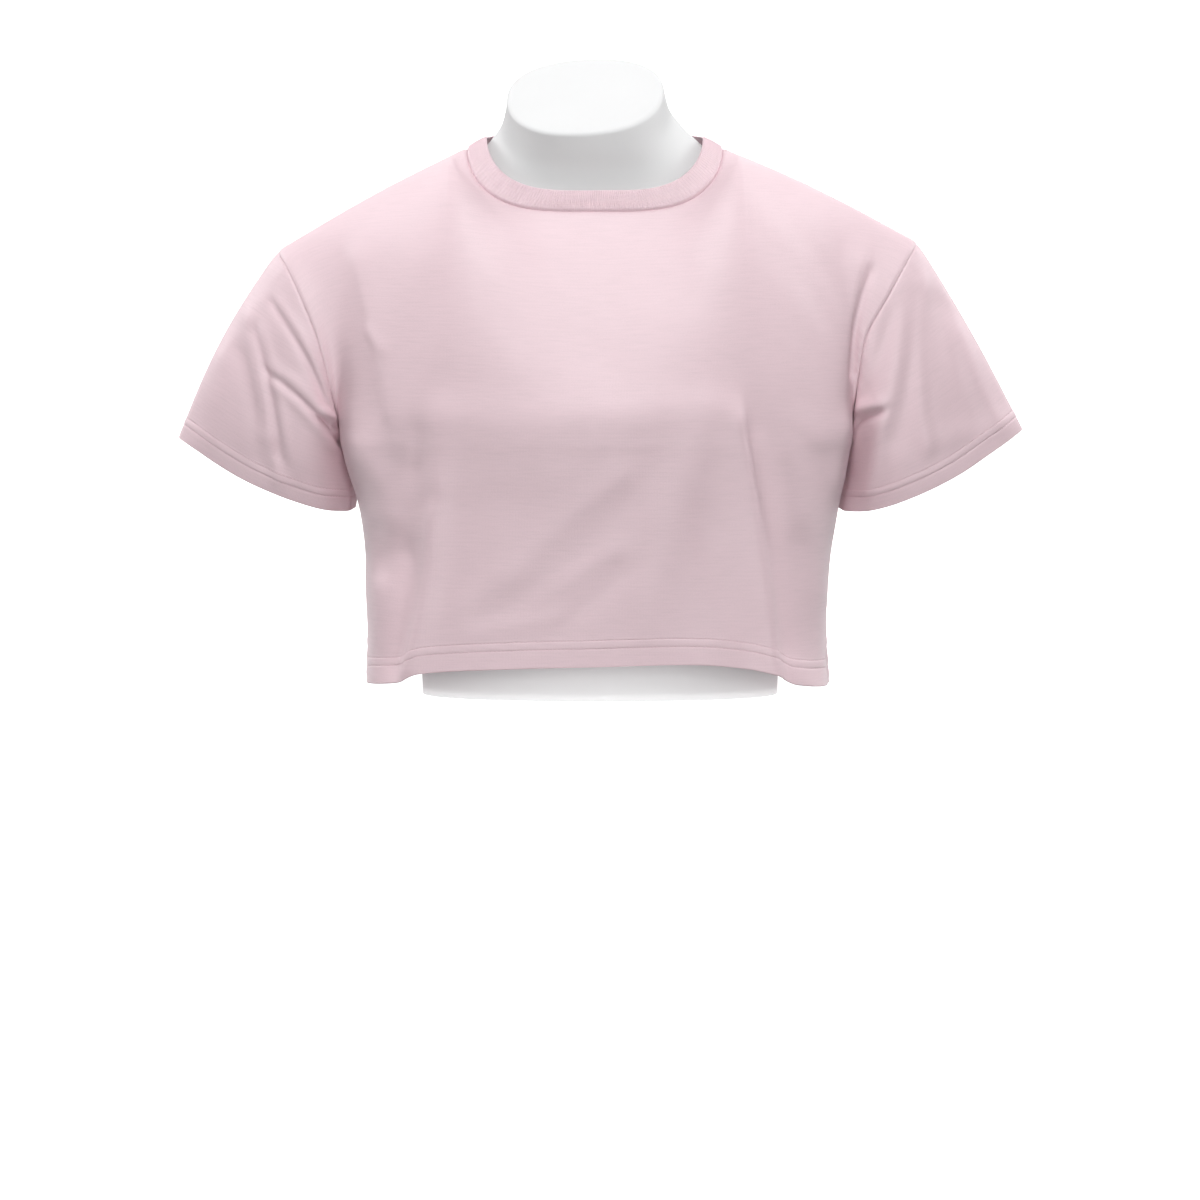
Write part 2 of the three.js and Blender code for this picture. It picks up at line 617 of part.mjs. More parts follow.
// Above the underarm the form lies under the cloth, close to it only on the shoulders.
function formChestPoint(face, u, s) {
  const tip = 1 - (1 - FORM_TIP_SHARE) * smooth(s * 1.6);
  const place = u * tip;
  const step = 0.01;
  const at = (du, ds) => chestPoint(
    face, clamp(place + du, -1, 1), clamp(s + ds));
  const across = sub(at(step, 0), at(-step, 0));
  const up = sub(at(0, step), at(0, -step));
  const normal = scale(unit(cross(across, up)), -face.out);
  const shoulder = smooth((Math.abs(place) - 0.46) / 0.1);
  const near = smooth((s - 0.6) / 0.34) * shoulder;
  const gap = CLOTH_WALL / 2 + FORM_CLEAR + 5.5 * (1 - near);
  const under = sub(at(0, 0), scale(normal, gap));
  const own = formTrunkPoint(face, u, UNDERARM_Z + 60 * s);
  return mix(own, under, smooth(s / 0.55));
}

// A neck point of the form in the direction of u, which is 0 at the front or the back.
function formNeckPoint(face, u, ring) {
  const end = (column) => follow(FORM_NECK, "ring", column, ring);
  const angle = u * Math.PI / 2;
  const r = squareRadius(angle, FORM_SQUARE);
  const aside = r * Math.sin(angle);
  const ahead = r * Math.cos(angle);
  const middleX = (end("left") + end("right")) / 2;
  const middleZ = (end("leftZ") + end("rightZ")) / 2;
  const faceY = face.out < 0 ? end("front") : end("back");
  const faceZ = face.out < 0 ? end("frontZ") : end("backZ");
  return [
    middleX + (end("right") - end("left")) / 2 * aside,
    SIDE_Y + (faceY - SIDE_Y) * ahead,
    middleZ + (end("rightZ") - end("leftZ")) / 2 * aside + (faceZ - middleZ) * ahead,
  ];
}

// The form is one closed skin: a flat base, rings up the trunk, which close along the
// shoulders, rings up the neck, and the flat slanting cap.
function formMesh(colour) {
  const neckU = NECK_SHARE / FORM_TIP_SHARE;
  const columns = [
    ...span(-1, -neckU, FORM_STEPS.shoulder).slice(0, -1),
    ...span(-neckU, neckU, FORM_STEPS.neck),
    ...span(neckU, 1, FORM_STEPS.shoulder).slice(1),
  ];
  const ringOf = (front, back, bulge) => {
    const cap = (from, to, out) => span(0, 1, FORM_STEPS.cap).slice(1, -1).map((t) => (
      add(mix(from, to, t), [out * 4 * t * (1 - t), 0, 0])));
    const home = [...back].reverse();
    return [
      ...front, ...cap(front.at(-1), home[0], bulge),
      ...home, ...cap(home.at(-1), front[0], -bulge),
    ];
  };
  const along = (face, pointAt) => columns.map((u) => pointAt(face, u));
  const rings = [];
  for (const t of span(0, 1, FORM_STEPS.trunk)) {
    const at = (face, u) => formTrunkPoint(face, u, UNDERARM_Z * t);
    rings.push(ringOf(along(FACES.front, at), along(FACES.back, at), 0));
  }
  for (const s of span(0, 1, FORM_STEPS.chest).slice(1)) {
    const at = (face, u) => formChestPoint(face, u, s);
    const front = along(FACES.front, at);
    const back = along(FACES.back, at);
    if (s === 1) {
      columns.forEach((u, i) => {
        if (Math.abs(u) > neckU - 1e-6) {
          front[i] = mix(front[i], back[i], 0.5);
          back[i] = front[i];
        }
      });
    }
    rings.push(ringOf(front, back, FORM_SHOULDER_BULGE * Math.sin(Math.PI * s) * (1 - s)));
  }
  const first = FORM_STEPS.shoulder;
  const last = first + FORM_STEPS.neck;
  const crown = rings.at(-1);
  const size = columns.length + FORM_STEPS.cap - 1;
  const neckRings = [[
    ...crown.slice(first, last + 1),
    ...crown.slice(size + columns.length - 1 - last + 1, size + columns.length - 1 - first),
  ]];
  const turns = span(-1, 1, FORM_STEPS.neck);
  for (const ring of FORM_NECK.ring) {
    neckRings.push([
      ...turns.map((u) => formNeckPoint(FACES.front, u, ring)),
      ...turns.slice(1, -1).reverse().map((u) => formNeckPoint(FACES.back, u, ring)),
    ]);
  }

  const points = [];
  const known = new Map();
  const faces = [];
  const indexOf = (point) => {
    const key = keyOf(point);
    if (!known.has(key)) {
      known.set(key, points.length);
      points.push(point);
    }
    return known.get(key);
  };
  const triangle = (a, b, c) => {
    if (a !== b && b !== c && c !== a) {
      faces.push([a, b, c]);
    }
  };
  const skin = (rows) => {
    const indices = rows.map((row) => row.map(indexOf));
    for (let j = 0; j < rows.length - 1; j += 1) {
      const count = rows[j].length;
      for (let i = 0; i < count; i += 1) {
        const next = (i + 1) % count;
        triangle(indices[j][i], indices[j][next], indices[j + 1][next]);
        triangle(indices[j][i], indices[j + 1][next], indices[j + 1][i]);
      }
    }
  };
  const lid = (row, up) => {
    const middle = indexOf(scale(row.reduce(add, [0, 0, 0]), 1 / row.length));
    row.forEach((point, i) => {
      const a = indexOf(point);
      const b = indexOf(row[(i + 1) % row.length]);
      triangle(middle, up ? a : b, up ? b : a);
    });
  };
  skin(rings);
  skin(neckRings);
  lid(rings[0], false);
  lid(neckRings.at(-1), true);
  return meshFrom("dress_form", points, faces, colour, 0.6);
}

const front = panelGrid(FACES.front, FRONT_FOLDS);
const back = panelGrid(FACES.back, BACK_FOLDS);
const sleeves = { left: sleeveGrid("left"), right: sleeveGrid("right") };
const band = bandGrid(front, back);
[front, back, sleeves.left, sleeves.right, band].forEach(noteSeams);

const PINK = 0xe3ccd3;
const WHITE = 0xf2f2f0;
const bodyWall = (j) => (j < 1 ? HEM_WALL : CLOTH_WALL);
const sleeveWall = (j) => (j > STEPS.sleeve ? HEM_WALL : CLOTH_WALL);

const group = new THREE.Group();
group.add(wallMesh("front", front, bodyWall, PINK));
group.add(wallMesh("back", back, bodyWall, PINK));
group.add(wallMesh("sleeve_left", sleeves.left, sleeveWall, PINK));
group.add(wallMesh("sleeve_right", sleeves.right, sleeveWall, PINK));
group.add(wallMesh("neckband", band, () => BAND_WALL, PINK));
group.add(formMesh(WHITE));

export default group;
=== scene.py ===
import math

import bpy
import numpy as np
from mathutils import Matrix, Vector


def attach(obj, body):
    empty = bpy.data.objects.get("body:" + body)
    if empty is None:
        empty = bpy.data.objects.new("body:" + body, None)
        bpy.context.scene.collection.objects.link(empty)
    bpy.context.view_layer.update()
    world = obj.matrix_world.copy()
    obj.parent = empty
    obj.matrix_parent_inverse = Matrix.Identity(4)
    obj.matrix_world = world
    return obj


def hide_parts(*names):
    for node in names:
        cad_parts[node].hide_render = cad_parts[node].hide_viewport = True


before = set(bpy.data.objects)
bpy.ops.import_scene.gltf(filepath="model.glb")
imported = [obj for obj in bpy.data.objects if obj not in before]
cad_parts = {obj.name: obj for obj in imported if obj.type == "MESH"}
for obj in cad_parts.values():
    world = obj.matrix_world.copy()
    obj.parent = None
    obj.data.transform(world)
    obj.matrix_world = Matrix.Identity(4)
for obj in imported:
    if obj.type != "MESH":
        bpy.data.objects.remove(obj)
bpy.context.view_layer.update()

bl_info = {
    "name": "Crop Top on a Dress Form",
    "version": (1, 0, 0),
    "blender": (4, 5, 0),
    "location": "3D View > Sidebar > Crop Top",
    "description": "A short-sleeved crop top of cotton jersey on a limbless dress form",
    "category": "Add Mesh",
}

MM = 0.001

# Shape tables in millimetres. They follow the part's source, but the neck opening lies a
# little to the left and is slightly narrower, as it fell on the form.
SIDE_Y = 2.0
UNDERARM_Z = 202.0
NECK_HALF, NECK_Y, NECK_Z = 101.5, 6.0, 434.0
NECK_MIDDLE = -4.0
NECK_SHARE, NECK_SQUARE, NECK_DROP_POWER = 0.4, 3.8, 2.0
SHOULDER_RISE = 3.0
NECK_SIDE_ROUND = 0.12
BUST_SHARE, BUST_SOFTNESS = 0.1, 0.18
EDGE_POWER = 4.0
CROWN_SOFTNESS, CROWN_FADE = 0.36, 0.7
NECK_PUSH, PUSH_INSET, PUSH_WIDTH, PUSH_REACH = 60.0, 0.04, 0.12, 0.15
SLEEVE_OUT = {-1: 6.5, 1: 2.5}
SLEEVE_OUT_X, SLEEVE_OUT_Z = 0.88, 0.47
SLEEVE_HUG = {-1: 6.0, 1: -1.5}
SLEEVE_EASE, SLEEVE_EASE_SHARE, SLEEVE_EASE_POWER = 0.6, 0.7, 0.5
SLEEVE_BACK, SLEEVE_BACK_START, SLEEVE_BACK_RUN = 18.0, 0.1, 0.45
SLEEVE_SWELL = 7.0
CUFF_BACK_RISE = 5.0
BAND_HALF, BAND_FRONT, BAND_BACK = 85.5, 58.0, 49.0
BAND_Z, BAND_DROP, BAND_BACK_RISE = 443.0, 44.0, 5.0
BAND_CROWDING, BAND_BELLY, RIB_SAMPLES = 0.12, 0.5, 6
FOLD_END = 1.8

# Rough runs along the cloth, which set how many grid lines it gets.
PANEL_HALF, TRUNK_RUN, CHEST_RUN, SHOULDER_RUN = 245.0, 172, 235, 240.0
SLEEVE_HALF_GIRTH, SLEEVE_RUN = 210, 150
# Hems: rounding of the edge, rise where the cloth lies double, and a hair's gap inside.
EDGE_ROUND, DOUBLED, HAIR = 0.9, 0.8, 0.02
THREAD_LIFT, STITCH_GAP, END_MARGIN = 0.2, 0.12, 1.2
# Unevenness of the cloth: wavelengths and height, and how far from an edge it fades.
PANEL_RIPPLE = ([(28, 60), (70, 140)], 0.8)
SLEEVE_RIPPLE = ([(24, 50), (60, 110)], 0.7)
RIPPLE_FADE, SIDE_FADE, TOP_FADE = 14, 16, 30

# Horizontal sections of the trunk: half widths, depths and superellipse exponents.
TRUNK = {
    "z": [0, 60, 110, 150, 180, 202],
    "left": [187, 185.5, 183, 188, 198, 205],
    "right": [184, 181, 183.5, 189.5, 194.3, 198],
    "front": [115, 114, 116, 120, 125, 128],
    "back": [88, 90, 94, 97, 99, 100],
    "front_square": [4.4, 3.7, 3.1, 2.7, 2.45, 2.35],
    "back_square": [2.9, 2.8, 2.6, 2.4, 2.3, 2.2],
}
# Height of the bottom edge from the left side seam (-1) to the right (1).
FRONT_HEM = {
    "across": [-1, -0.75, -0.5, -0.44, -0.25, 0, 0.25, 0.375, 0.44, 0.5, 0.75, 1],
    "z": [8, 12, 17, 24, 28, 30, 31.5, 28, 22.5, 15, 10.5, 8],
}
BACK_HEM = {"across": [-1, -0.6, -0.3, 0, 0.3, 0.6, 1], "z": [8, 10, 11, 11.5, 11, 10, 8]}
FRONT = {"out": -1, "depth": "front", "square": "front_square", "hem": FRONT_HEM,
         "neck_depth": 66.0, "neck_drop": 51.5, "edge": "front"}
BACK = {"out": 1, "depth": "back", "square": "back_square", "hem": BACK_HEM,
        "neck_depth": 54.0, "neck_drop": 3.0, "edge": "back"}
# Armhole seams from the underarm (rise 0) to the shoulder tip (rise 1).
SEAM_RISE = [0, 0.1, 0.22, 0.4, 0.6, 0.78, 0.9, 0.97, 1]
SEAM_BACK_Y = [2, 18, 34, 48, 52, 44, 29, 14, 2]
ARMHOLE = {
    -1: {
        "rise": SEAM_RISE,
        "z": [202, 210, 226, 251, 284, 315, 339, 351, 353],
        "front_x": [205, 205.7, 208, 213, 222, 235, 247, 254.5, 256],
        "front_y": [2, -14, -29, -42, -46, -39, -25, -10, 2],
        "back_x": [205, 206, 209, 214, 223, 236, 248, 254.5, 256],
        "back_y": SEAM_BACK_Y,
    },
    1: {
        "rise": SEAM_RISE,
        "z": [202, 210, 226, 251, 285, 319, 345, 357.5, 359.6],
        "front_x": [198, 199, 200.5, 203, 209, 228, 243, 250.5, 252],
        "front_y": [2, -11, -22, -32, -38, -34, -22, -10, 2],
        "back_x": [198, 199, 202, 208, 218, 232, 244, 250.5, 252],
        "back_y": SEAM_BACK_Y,
    },
}
# Cuff edges from the inner corner (turn 0) to the outer corner (turn 1).
CUFF_TURN = [0, 0.1, 0.25, 0.45, 0.65, 0.85, 0.96, 1]
CUFF_DEPTH = [0, 14, 24, 30, 28, 19, 8.5, 0]
CUFF = {
    -1: {"turn": CUFF_TURN, "depth": CUFF_DEPTH,
         "x": [196, 201, 221, 254, 288, 320, 334, 336],
         "z": [148, 145.2, 147.5, 158.5, 174.4, 194.5, 203, 204]},
    1: {"turn": CUFF_TURN, "depth": CUFF_DEPTH,
        "x": [191, 196, 216, 246, 283, 320, 335, 337],
        "z": [148, 145.5, 146.5, 156.5, 174.5, 199, 209.5, 210.5]},
}

# Folds: ridges (rise above 0) and troughs (below 0) along a bowed line in the view from
# the front. bow is its sag to the left of a line that goes down, width the half width,
# and lean the share by which the left side is wider than the right, 0 if a row has none.
FOLD_COLUMNS = ("name", "x0", "z0", "x1", "z1", "bow", "width", "rise", "lean")
FRONT_FOLDS = [
    ("bust line", -116, 224, 80, 228, 6, 15, 2.2),
    ("bust swell", -100, 220, 70, 224, 6, 34, 1.8),
    ("belly fall", -70, 16, 70, 16, 0, 76, -5),
    ("left crest", -126, 166, -149, 30, -5, 10, 4, -0.1),
    ("left crest edge", -130, 146, -152, 30, -4, 5, 1.8, -0.3),
    ("left upper crest", -124, 216, -125, 168, 0, 13, 1.6, -0.2),
    ("left upper hollow", -140, 206, -144, 184, 0, 9, -3),
    ("left slanting hollow", -131, 164, -160, 118, 2, 8, -1.6),
    ("left hem hollow", -151, 112, -164, 34, -1, 11, -6.5),
    ("left side ridge", -180, 190, -164, 150, -3, 10, 3),
    ("left side panel", -186, 176, -176, 96, 0, 18, 3.6),
    ("left side tuck", -172, 132, -168, 104, 0, 6, -1.8),
    ("left side swell", -170, 84, -174, 30, 0, 10, 2.4),
    ("right crest", 106, 218, 138, 20, -2, 10, 4, 0.45),
    ("right crest edge", 107, 218, 139, 18, -2, 5, 2.2, 0.3),
    ("right crest hollow", 117, 204, 150, 50, -3, 13, -4.5),
    ("right low hollow", 84, 134, 114, 54, 4, 14, -2),
    ("right side swell", 150, 190, 168, 90, 0, 12, 2),
    ("right side hollow", 158, 120, 172, 30, 0, 10, -3),
    ("middle ridge", 80, 220, 36, 74, 0, 17, 1.8),
    ("middle trough", 58, 214, -46, 90, -9, 16, -0.9),
    ("slanting ridge", 14, 176, -70, 106, 2, 11, 1.1),
    ("lower ridge", 6, 118, -40, 84, 2, 8, 1.3),
    ("lower hollow", 16, 102, -20, 70, 0, 9, -1.3),
    ("left low swell", -70, 98, -104, 76, 0, 12, 1.6),
    ("hem swell", -36, 68, -98, 56, 0, 9, 1.2),
    ("left chest pull", -70, 360, -140, 250, 0, 16, 0.8),
    ("right chest pull", 74, 356, 120, 262, 0, 16, 0.8),
    ("shoulder crest", -190, 342, -162, 228, -2, 9, 2.2, -0.3),
    ("shoulder hollow", -202, 334, -178, 232, 2, 9, -1),
    ("notch", -178, 287, -169, 276, 0, 4, 1.6),
    ("left underarm bulge", -194, 216, -190, 196, 0, 11, 2.2),
    ("right armhole roll", 204, 336, 188, 222, 4, 10, 3.4, 0.4),
    ("right armhole crease", 212, 334, 198, 258, 4, 3.6, -3.2),
    ("right armhole trough", 176, 330, 170, 240, 0, 16, -1.2),
    ("right underarm bump", 160, 216, 184, 207, 4, 12, 1.2),
    ("bump shadow", 152, 206, 186, 197, 8, 9, -0.4),
    ("right underarm bulge", 190, 210, 186, 176, 0, 8, 3.5),
]
BACK_FOLDS = [
    ("left drape", -96, 236, -118, 18, -4, 15, 6.5, -0.3),
    ("left drape hollow", -70, 226, -84, 18, -2, 16, -5),
    ("left side hollow", -134, 200, -146, 30, 4, 13, -5),
    ("middle drape", -26, 210, -34, 22, 3, 14, 4.5),
    ("right hollow", 24, 226, 30, 18, 2, 17, -4.5),
    ("right drape", 84, 240, 104, 18, 4, 15, 6, 0.3),
    ("right side hollow", 132, 196, 142, 20, 0, 14, -5),
    ("right side ridge", 158, 186, 164, 40, 0, 10, 3.5),
    ("left blade drag", -196, 330, -142, 214, 8, 10, -4.5, 0.2),
    ("left blade ridge", -178, 322, -124, 222, 8, 11, 3.5),
    ("right blade drag", 194, 326, 138, 220, -8, 10, -4.5, -0.2),
    ("right blade ridge", 176, 318, 120, 226, -8, 11, 3.5),
    ("left slant", -104, 176, -30, 90, 6, 12, 3),
    ("right slant", 100, 180, 52, 96, -4, 12, -3),
    ("collar sag", -52, 392, 52, 392, 10, 13, -2.5),
    ("blade sag", -70, 300, 66, 296, 14, 20, -2),
]
SLEEVE_FOLDS = {
    (-1, "front"): [
        ("outer swell", -300, 262, -306, 214, 0, 13, 2),
        ("outer hollow", -284, 270, -262, 185, -2, 6.5, -2.4, 0.2),
        ("outer ridge", -277, 296, -264, 206, -2, 6, 1.8),
        ("long crease", -272, 288, -253, 192, -3, 3.4, -2.2),
        ("long crease edge", -265, 286, -247, 192, -3, 4.2, 1.6),
        ("upper crease", -257, 310, -213, 227, -4, 3, -2.6, 0.3),
        ("seam ridge", -250, 306, -208, 232, -4, 5.5, 2),
        ("middle crease", -261, 257, -204, 202, -3, 3, -2.5, 0.3),
        ("fold between", -250, 256, -211, 214, -4, 5, 1.8),
        ("lower ridge", -252, 245, -213, 200, -3, 5, 1.6),
        ("tucked bump", -215, 225, -204, 219, 0, 3.6, 3.2),
        ("tucked crease", -217, 219, -204, 213, 1, 2.6, -2.8),
        ("inner pocket", -211, 206, -205, 158, 0, 9, -3),
        ("cuff ridge", -264, 204, -256, 176, 2, 6, 1.6),
        ("cuff dip", -250, 190, -242, 170, 0, 7, -1.2),
    ],
    (-1, "back"): [
        ("outer hollow", -290, 300, -292, 212, 2, 12, -5),
        ("outer ridge", -306, 286, -312, 222, 0, 11, 3),
        ("slant", -262, 290, -214, 214, 4, 8, -5, 0.3),
        ("slant ridge", -262, 262, -224, 204, 3, 8, 4.5),
        ("cuff fold", -252, 214, -244, 176, 2, 8, -3.5),
    ],
    (1, "front"): [
        ("inner ridge", 240, 300, 222, 216, -2, 7, 1.8),
        ("inner hollow", 226, 300, 210, 244, -2, 7, -1.6),
        ("long hollow", 248, 308, 236, 208, -3, 8, -1.8),
        ("long ridge", 256, 322, 259, 200, 6, 6, 2.2, 0.2),
        ("outer hollow", 272, 306, 296, 218, 4, 9, -2),
        ("outer ridge", 284, 286, 311, 224, 2, 7, 1.6),
        ("cuff swell", 276, 206, 312, 214, 0, 10, 1.5),
        ("tucked bump", 199, 225, 219, 231, 0, 4.6, 3.6, -0.4),
        ("under the bump", 199, 217, 218, 225, 0, 3.6, -3.6),
        ("pocket", 206, 210, 203, 160, 0, 10, -3),
        ("pocket ridge", 222, 216, 214, 166, 0, 7, 1.8),
    ],
    (1, "back"): [
        ("outer hollow", 288, 304, 292, 214, -2, 12, -5),
        ("outer ridge", 306, 286, 312, 226, 0, 11, 3),
        ("slant", 258, 296, 212, 216, -4, 8, -5, -0.3),
        ("slant ridge", 258, 264, 222, 206, -3, 8, 4.5),
        ("cuff fold", 250, 214, 240, 176, -2, 8, -3.5),
    ],
}

# Dress form tables.
FORM_TRUNK = {
    "z": [0, 40, 90, 140, 180, 202],
    "half": [142, 144, 150, 158, 164, 167],
    "front": [78, 82, 92, 104, 109, 110],
    "back": [76, 77, 80, 84, 87, 88],
}
FORM_WALL, FORM_CLEAR, FORM_HOLLOW = 0.7, 1.25, 5.5
FORM_TIP_SHARE = 0.72
FORM_SHOULDER_BULGE = 9.0
FORM_SQUARE = 2.3
FORM_CHEST_CARRY, FORM_CHEST_BLEND = 60, 0.55
FORM_CAP_RADIUS = 58
FORM_NECK = {
    "ring": [0, 1, 2, 3, 4],
    "left": [-95, -87, -79, -75, -73.6],
    "right": [88, 78, 66, 56, 50],
    "front": [-49, -47.5, -49, -53, -56],
    "back": [52, 50, 49, 50, 52],
    "left_z": [431, 439, 449, 462, 475],
    "right_z": [430, 438, 447, 459, 482],
    "front_z": [390, 400, 414, 430, 443],
    "back_z": [436, 450, 470, 490, 508],
}


# ---- sizes and colours
def float_prop(name, description, default, **more):
    return bpy.props.FloatProperty(name=name, description=description, default=default, **more)


def length_prop(name, description, default, **more):
    """A length in metres."""
    return float_prop(name, description, default, subtype="DISTANCE", unit="LENGTH",
                      precision=5, **more)


def colour_prop(name, description, default):
    return bpy.props.FloatVectorProperty(name=name, description=description, default=default,
                                         min=0, max=1, subtype="COLOR", size=3)


class CropTopCloth(bpy.types.PropertyGroup):
    """Sizes and colours of the cloth."""
    thickness: length_prop("Cloth thickness", "Thickness of the jersey", 0.0009,
                           min=0.0003, max=0.002)
    hem_depth: length_prop("Hem depth", "Depth of the turned-up bottom edge", 0.0215,
                           min=0.01, max=0.03)
    cuff_depth: length_prop("Cuff hem depth", "Depth of the turned-up cuff edge", 0.0185,
                            min=0.01, max=0.03)
    grid_step: length_prop("Grid step", "Distance between the grid lines of the cloth", 0.0031,
                           min=0.002, max=0.01)
    jersey: colour_prop("Jersey", "Colour of the jersey", (0.772, 0.583, 0.628))
    rib: colour_prop("Rib", "Colour of the neckband's rib", (0.735, 0.547, 0.595))
    thread: colour_prop("Thread", "Colour of the stitches", (0.790, 0.570, 0.630))


class CropTopStitching(bpy.types.PropertyGroup):
    """Sizes of the two rows of stitches at each hem, from the edge."""
    lower_row: length_prop("Lower hem row", "The lower row's distance from the edge", 0.0143)
    upper_row: length_prop("Upper hem row", "The upper row's distance from the edge", 0.0207)
    cuff_lower_row: length_prop("Lower cuff row", "Its distance from the cuff's edge", 0.0118)
    cuff_upper_row: length_prop("Upper cuff row", "Its distance from the cuff's edge", 0.0177)
    stitch: length_prop("Stitch length", "Length of one stitch with its gap", 0.0031)
    thread_width: length_prop("Thread width", "Thickness of the thread", 0.00045)


class CropTopBand(bpy.types.PropertyGroup):
    """Sizes of the ribbed neckband."""
    thickness: length_prop("Band thickness", "Thickness of the doubled rib", 0.0018)
    ribs: bpy.props.IntProperty(
        name="Ribs", description="Number of ribs around the neckband", default=300, min=100)
    rib_height: length_prop("Rib height", "Height of one rib", 0.00022)


class CropTopForm(bpy.types.PropertyGroup):
    """Finish of the dress form."""
    edge_round: length_prop("Cap edge", "Rounding of the neck cap's edge", 0.003)
    shell: colour_prop("Form", "Colour of the dress form", (0.735, 0.738, 0.740))


class CropTopStage(bpy.types.PropertyGroup):
    """Camera and light."""
    camera_distance: length_prop("Camera distance", "Distance in front of the part", 3.2)
    camera_height: length_prop("Camera height", "Height above the part's base", 0.3)
    aim_height: length_prop("Aim height", "Height that the camera points at", 0.0744)
    frame_width: length_prop("Frame width", "Width of the view at the part", 0.96)
    key_power: float_prop("Key light", "Power of the large soft light", 75.0, unit="POWER")
    backdrop_power: float_prop("Backdrop lights", "Power of each backdrop light", 75.0,
                               unit="POWER")
    floor_drop: length_prop("Floor drop", "Depth of the floor below the base", 0.0006)
    ambient: float_prop("Ambient", "Strength of the even light from all round", 0.19)
    backdrop: colour_prop("Backdrop", "Colour of the floor and backdrop", (0.9, 0.9, 0.9))



# ---- shape functions, in mm
def follow(table, by, column, place):
    """A column of a short table between its rows: a Catmull-Rom curve over another column."""
    keys = np.asarray(table[by], float)
    values = np.asarray(table[column], float)
    slopes = np.empty_like(values)
    slopes[1:-1] = (values[2:] - values[:-2]) / (keys[2:] - keys[:-2])
    slopes[0] = (values[1] - values[0]) / (keys[1] - keys[0])
    slopes[-1] = (values[-1] - values[-2]) / (keys[-1] - keys[-2])
    t = np.clip(place, keys[0], keys[-1])
    i = np.clip(np.searchsorted(keys, t, side="right") - 1, 0, len(keys) - 2)
    span = keys[i + 1] - keys[i]
    q = (t - keys[i]) / span
    return ((1 + 2 * q) * (1 - q) ** 2 * values[i] + q * (1 - q) ** 2 * span * slopes[i]
            + q * q * (3 - 2 * q) * values[i + 1] + q * q * (q - 1) * span * slopes[i + 1])


def smooth(t):
    """0 below 0, 1 above 1 and a smooth step between: 3 t squared minus 2 t cubed."""
    t = np.clip(t, 0, 1)
    return t * t * (3 - 2 * t)


def square_radius(angle, square):
    """Radius of a superellipse with unit half axes: (|sin|^n + |cos|^n) to the -1/n."""
    return (np.abs(np.sin(angle)) ** square + np.abs(np.cos(angle)) ** square) ** (-1 / square)


def unit(v):
    """Vectors divided by their lengths."""
    return v / np.maximum(np.linalg.norm(v, axis=-1, keepdims=True), 1e-12)


def joined(x, y, z):
    """Points from their three coordinates."""
    return np.stack(np.broadcast_arrays(x, y, z), -1).astype(float)


def trunk_points(face, u, z):
    """Trunk: at height z a half superellipse, u from -1 at the left side seam to 1."""
    u, z = np.broadcast_arrays(np.asarray(u, float), np.asarray(z, float))
    angle = u * np.pi / 2
    r = square_radius(angle, follow(TRUNK, "z", face["square"], z))
    half = np.where(u < 0, follow(TRUNK, "z", "left", z), follow(TRUNK, "z", "right", z))
    depth = follow(TRUNK, "z", face["depth"], z) - face["out"] * SIDE_Y
    return joined(half * r * np.sin(angle), SIDE_Y + face["out"] * depth * r * np.cos(angle), z)


def armhole_points(hand, face, rise):
    """Armhole seam from its table, rise 0 at the underarm to 1 at the shoulder tip."""
    table = ARMHOLE[hand]
    return joined(hand * follow(table, "rise", face["edge"] + "_x", rise),
                  follow(table, "rise", face["edge"] + "_y", rise),
                  follow(table, "rise", "z", rise))


def crown_points(face, u):
    """A panel's top edge: a superellipse neckline in the middle, a shoulder seam each side."""
    u = np.asarray(u, float)
    angle = np.clip(u / NECK_SHARE, -1, 1) * np.pi / 2
    r = square_radius(angle, NECK_SQUARE)
    ahead = r * np.abs(np.cos(angle))
    neckline = joined(NECK_MIDDLE + NECK_HALF * r * np.sin(angle),
                      NECK_Y + face["out"] * face["neck_depth"] * ahead,
                      NECK_Z - face["neck_drop"] * ahead ** NECK_DROP_POWER)
    t = np.clip((np.abs(u) - NECK_SHARE) / (1 - NECK_SHARE), 0, 1)
    tip_x = np.where(u < 0, ARMHOLE[-1]["front_x"][-1], ARMHOLE[1]["front_x"][-1])
    tip_z = np.where(u < 0, ARMHOLE[-1]["z"][-1], ARMHOLE[1]["z"][-1])
    hand = np.where(u < 0, -1, 1)
    start_x = NECK_MIDDLE + hand * NECK_HALF
    seam = joined(start_x + (hand * tip_x - start_x) * t,
                  NECK_Y + (SIDE_Y - NECK_Y) * t,
                  NECK_Z + (tip_z - NECK_Z) * t + SHOULDER_RISE * np.sin(np.pi * t))
    return np.where((np.abs(u) <= NECK_SHARE)[..., None], neckline, seam)


def soft_crown_points(face, u, width):
    """The crown averaged over a width of u with weights that fall off from the middle."""
    total, weight = 0, 0
    for k in range(-4, 5):
        place = u + width * k / 4
        over = np.maximum(0, np.abs(place) - 1) * np.sign(place)
        share = 1 - abs(k) / 5
        total = total + share * (2 * crown_points(face, place - over)
                                 - crown_points(face, place - 2 * over))
        weight += share
    return total / weight


def rise_between(low, top, u, s):
    """From the underarm level to the crown: upright below the bust line, then straight at
    the middle and rounding at the sides."""
    above = np.maximum(0, s - BUST_SHARE) / (1 - BUST_SHARE)
    ramp = above * above * (1 + BUST_SOFTNESS) / (above + BUST_SOFTNESS)
    round_ = NECK_SIDE_ROUND + (1 - NECK_SIDE_ROUND) * smooth(np.abs(u) / NECK_SHARE)
    for_y = ramp + (1 - np.cos(s * np.pi / 2) - ramp) * round_
    for_z = s + (np.sin(s * np.pi / 2) - s) * round_
    share = joined(s, for_y, for_z)
    return low + (top - low) * share


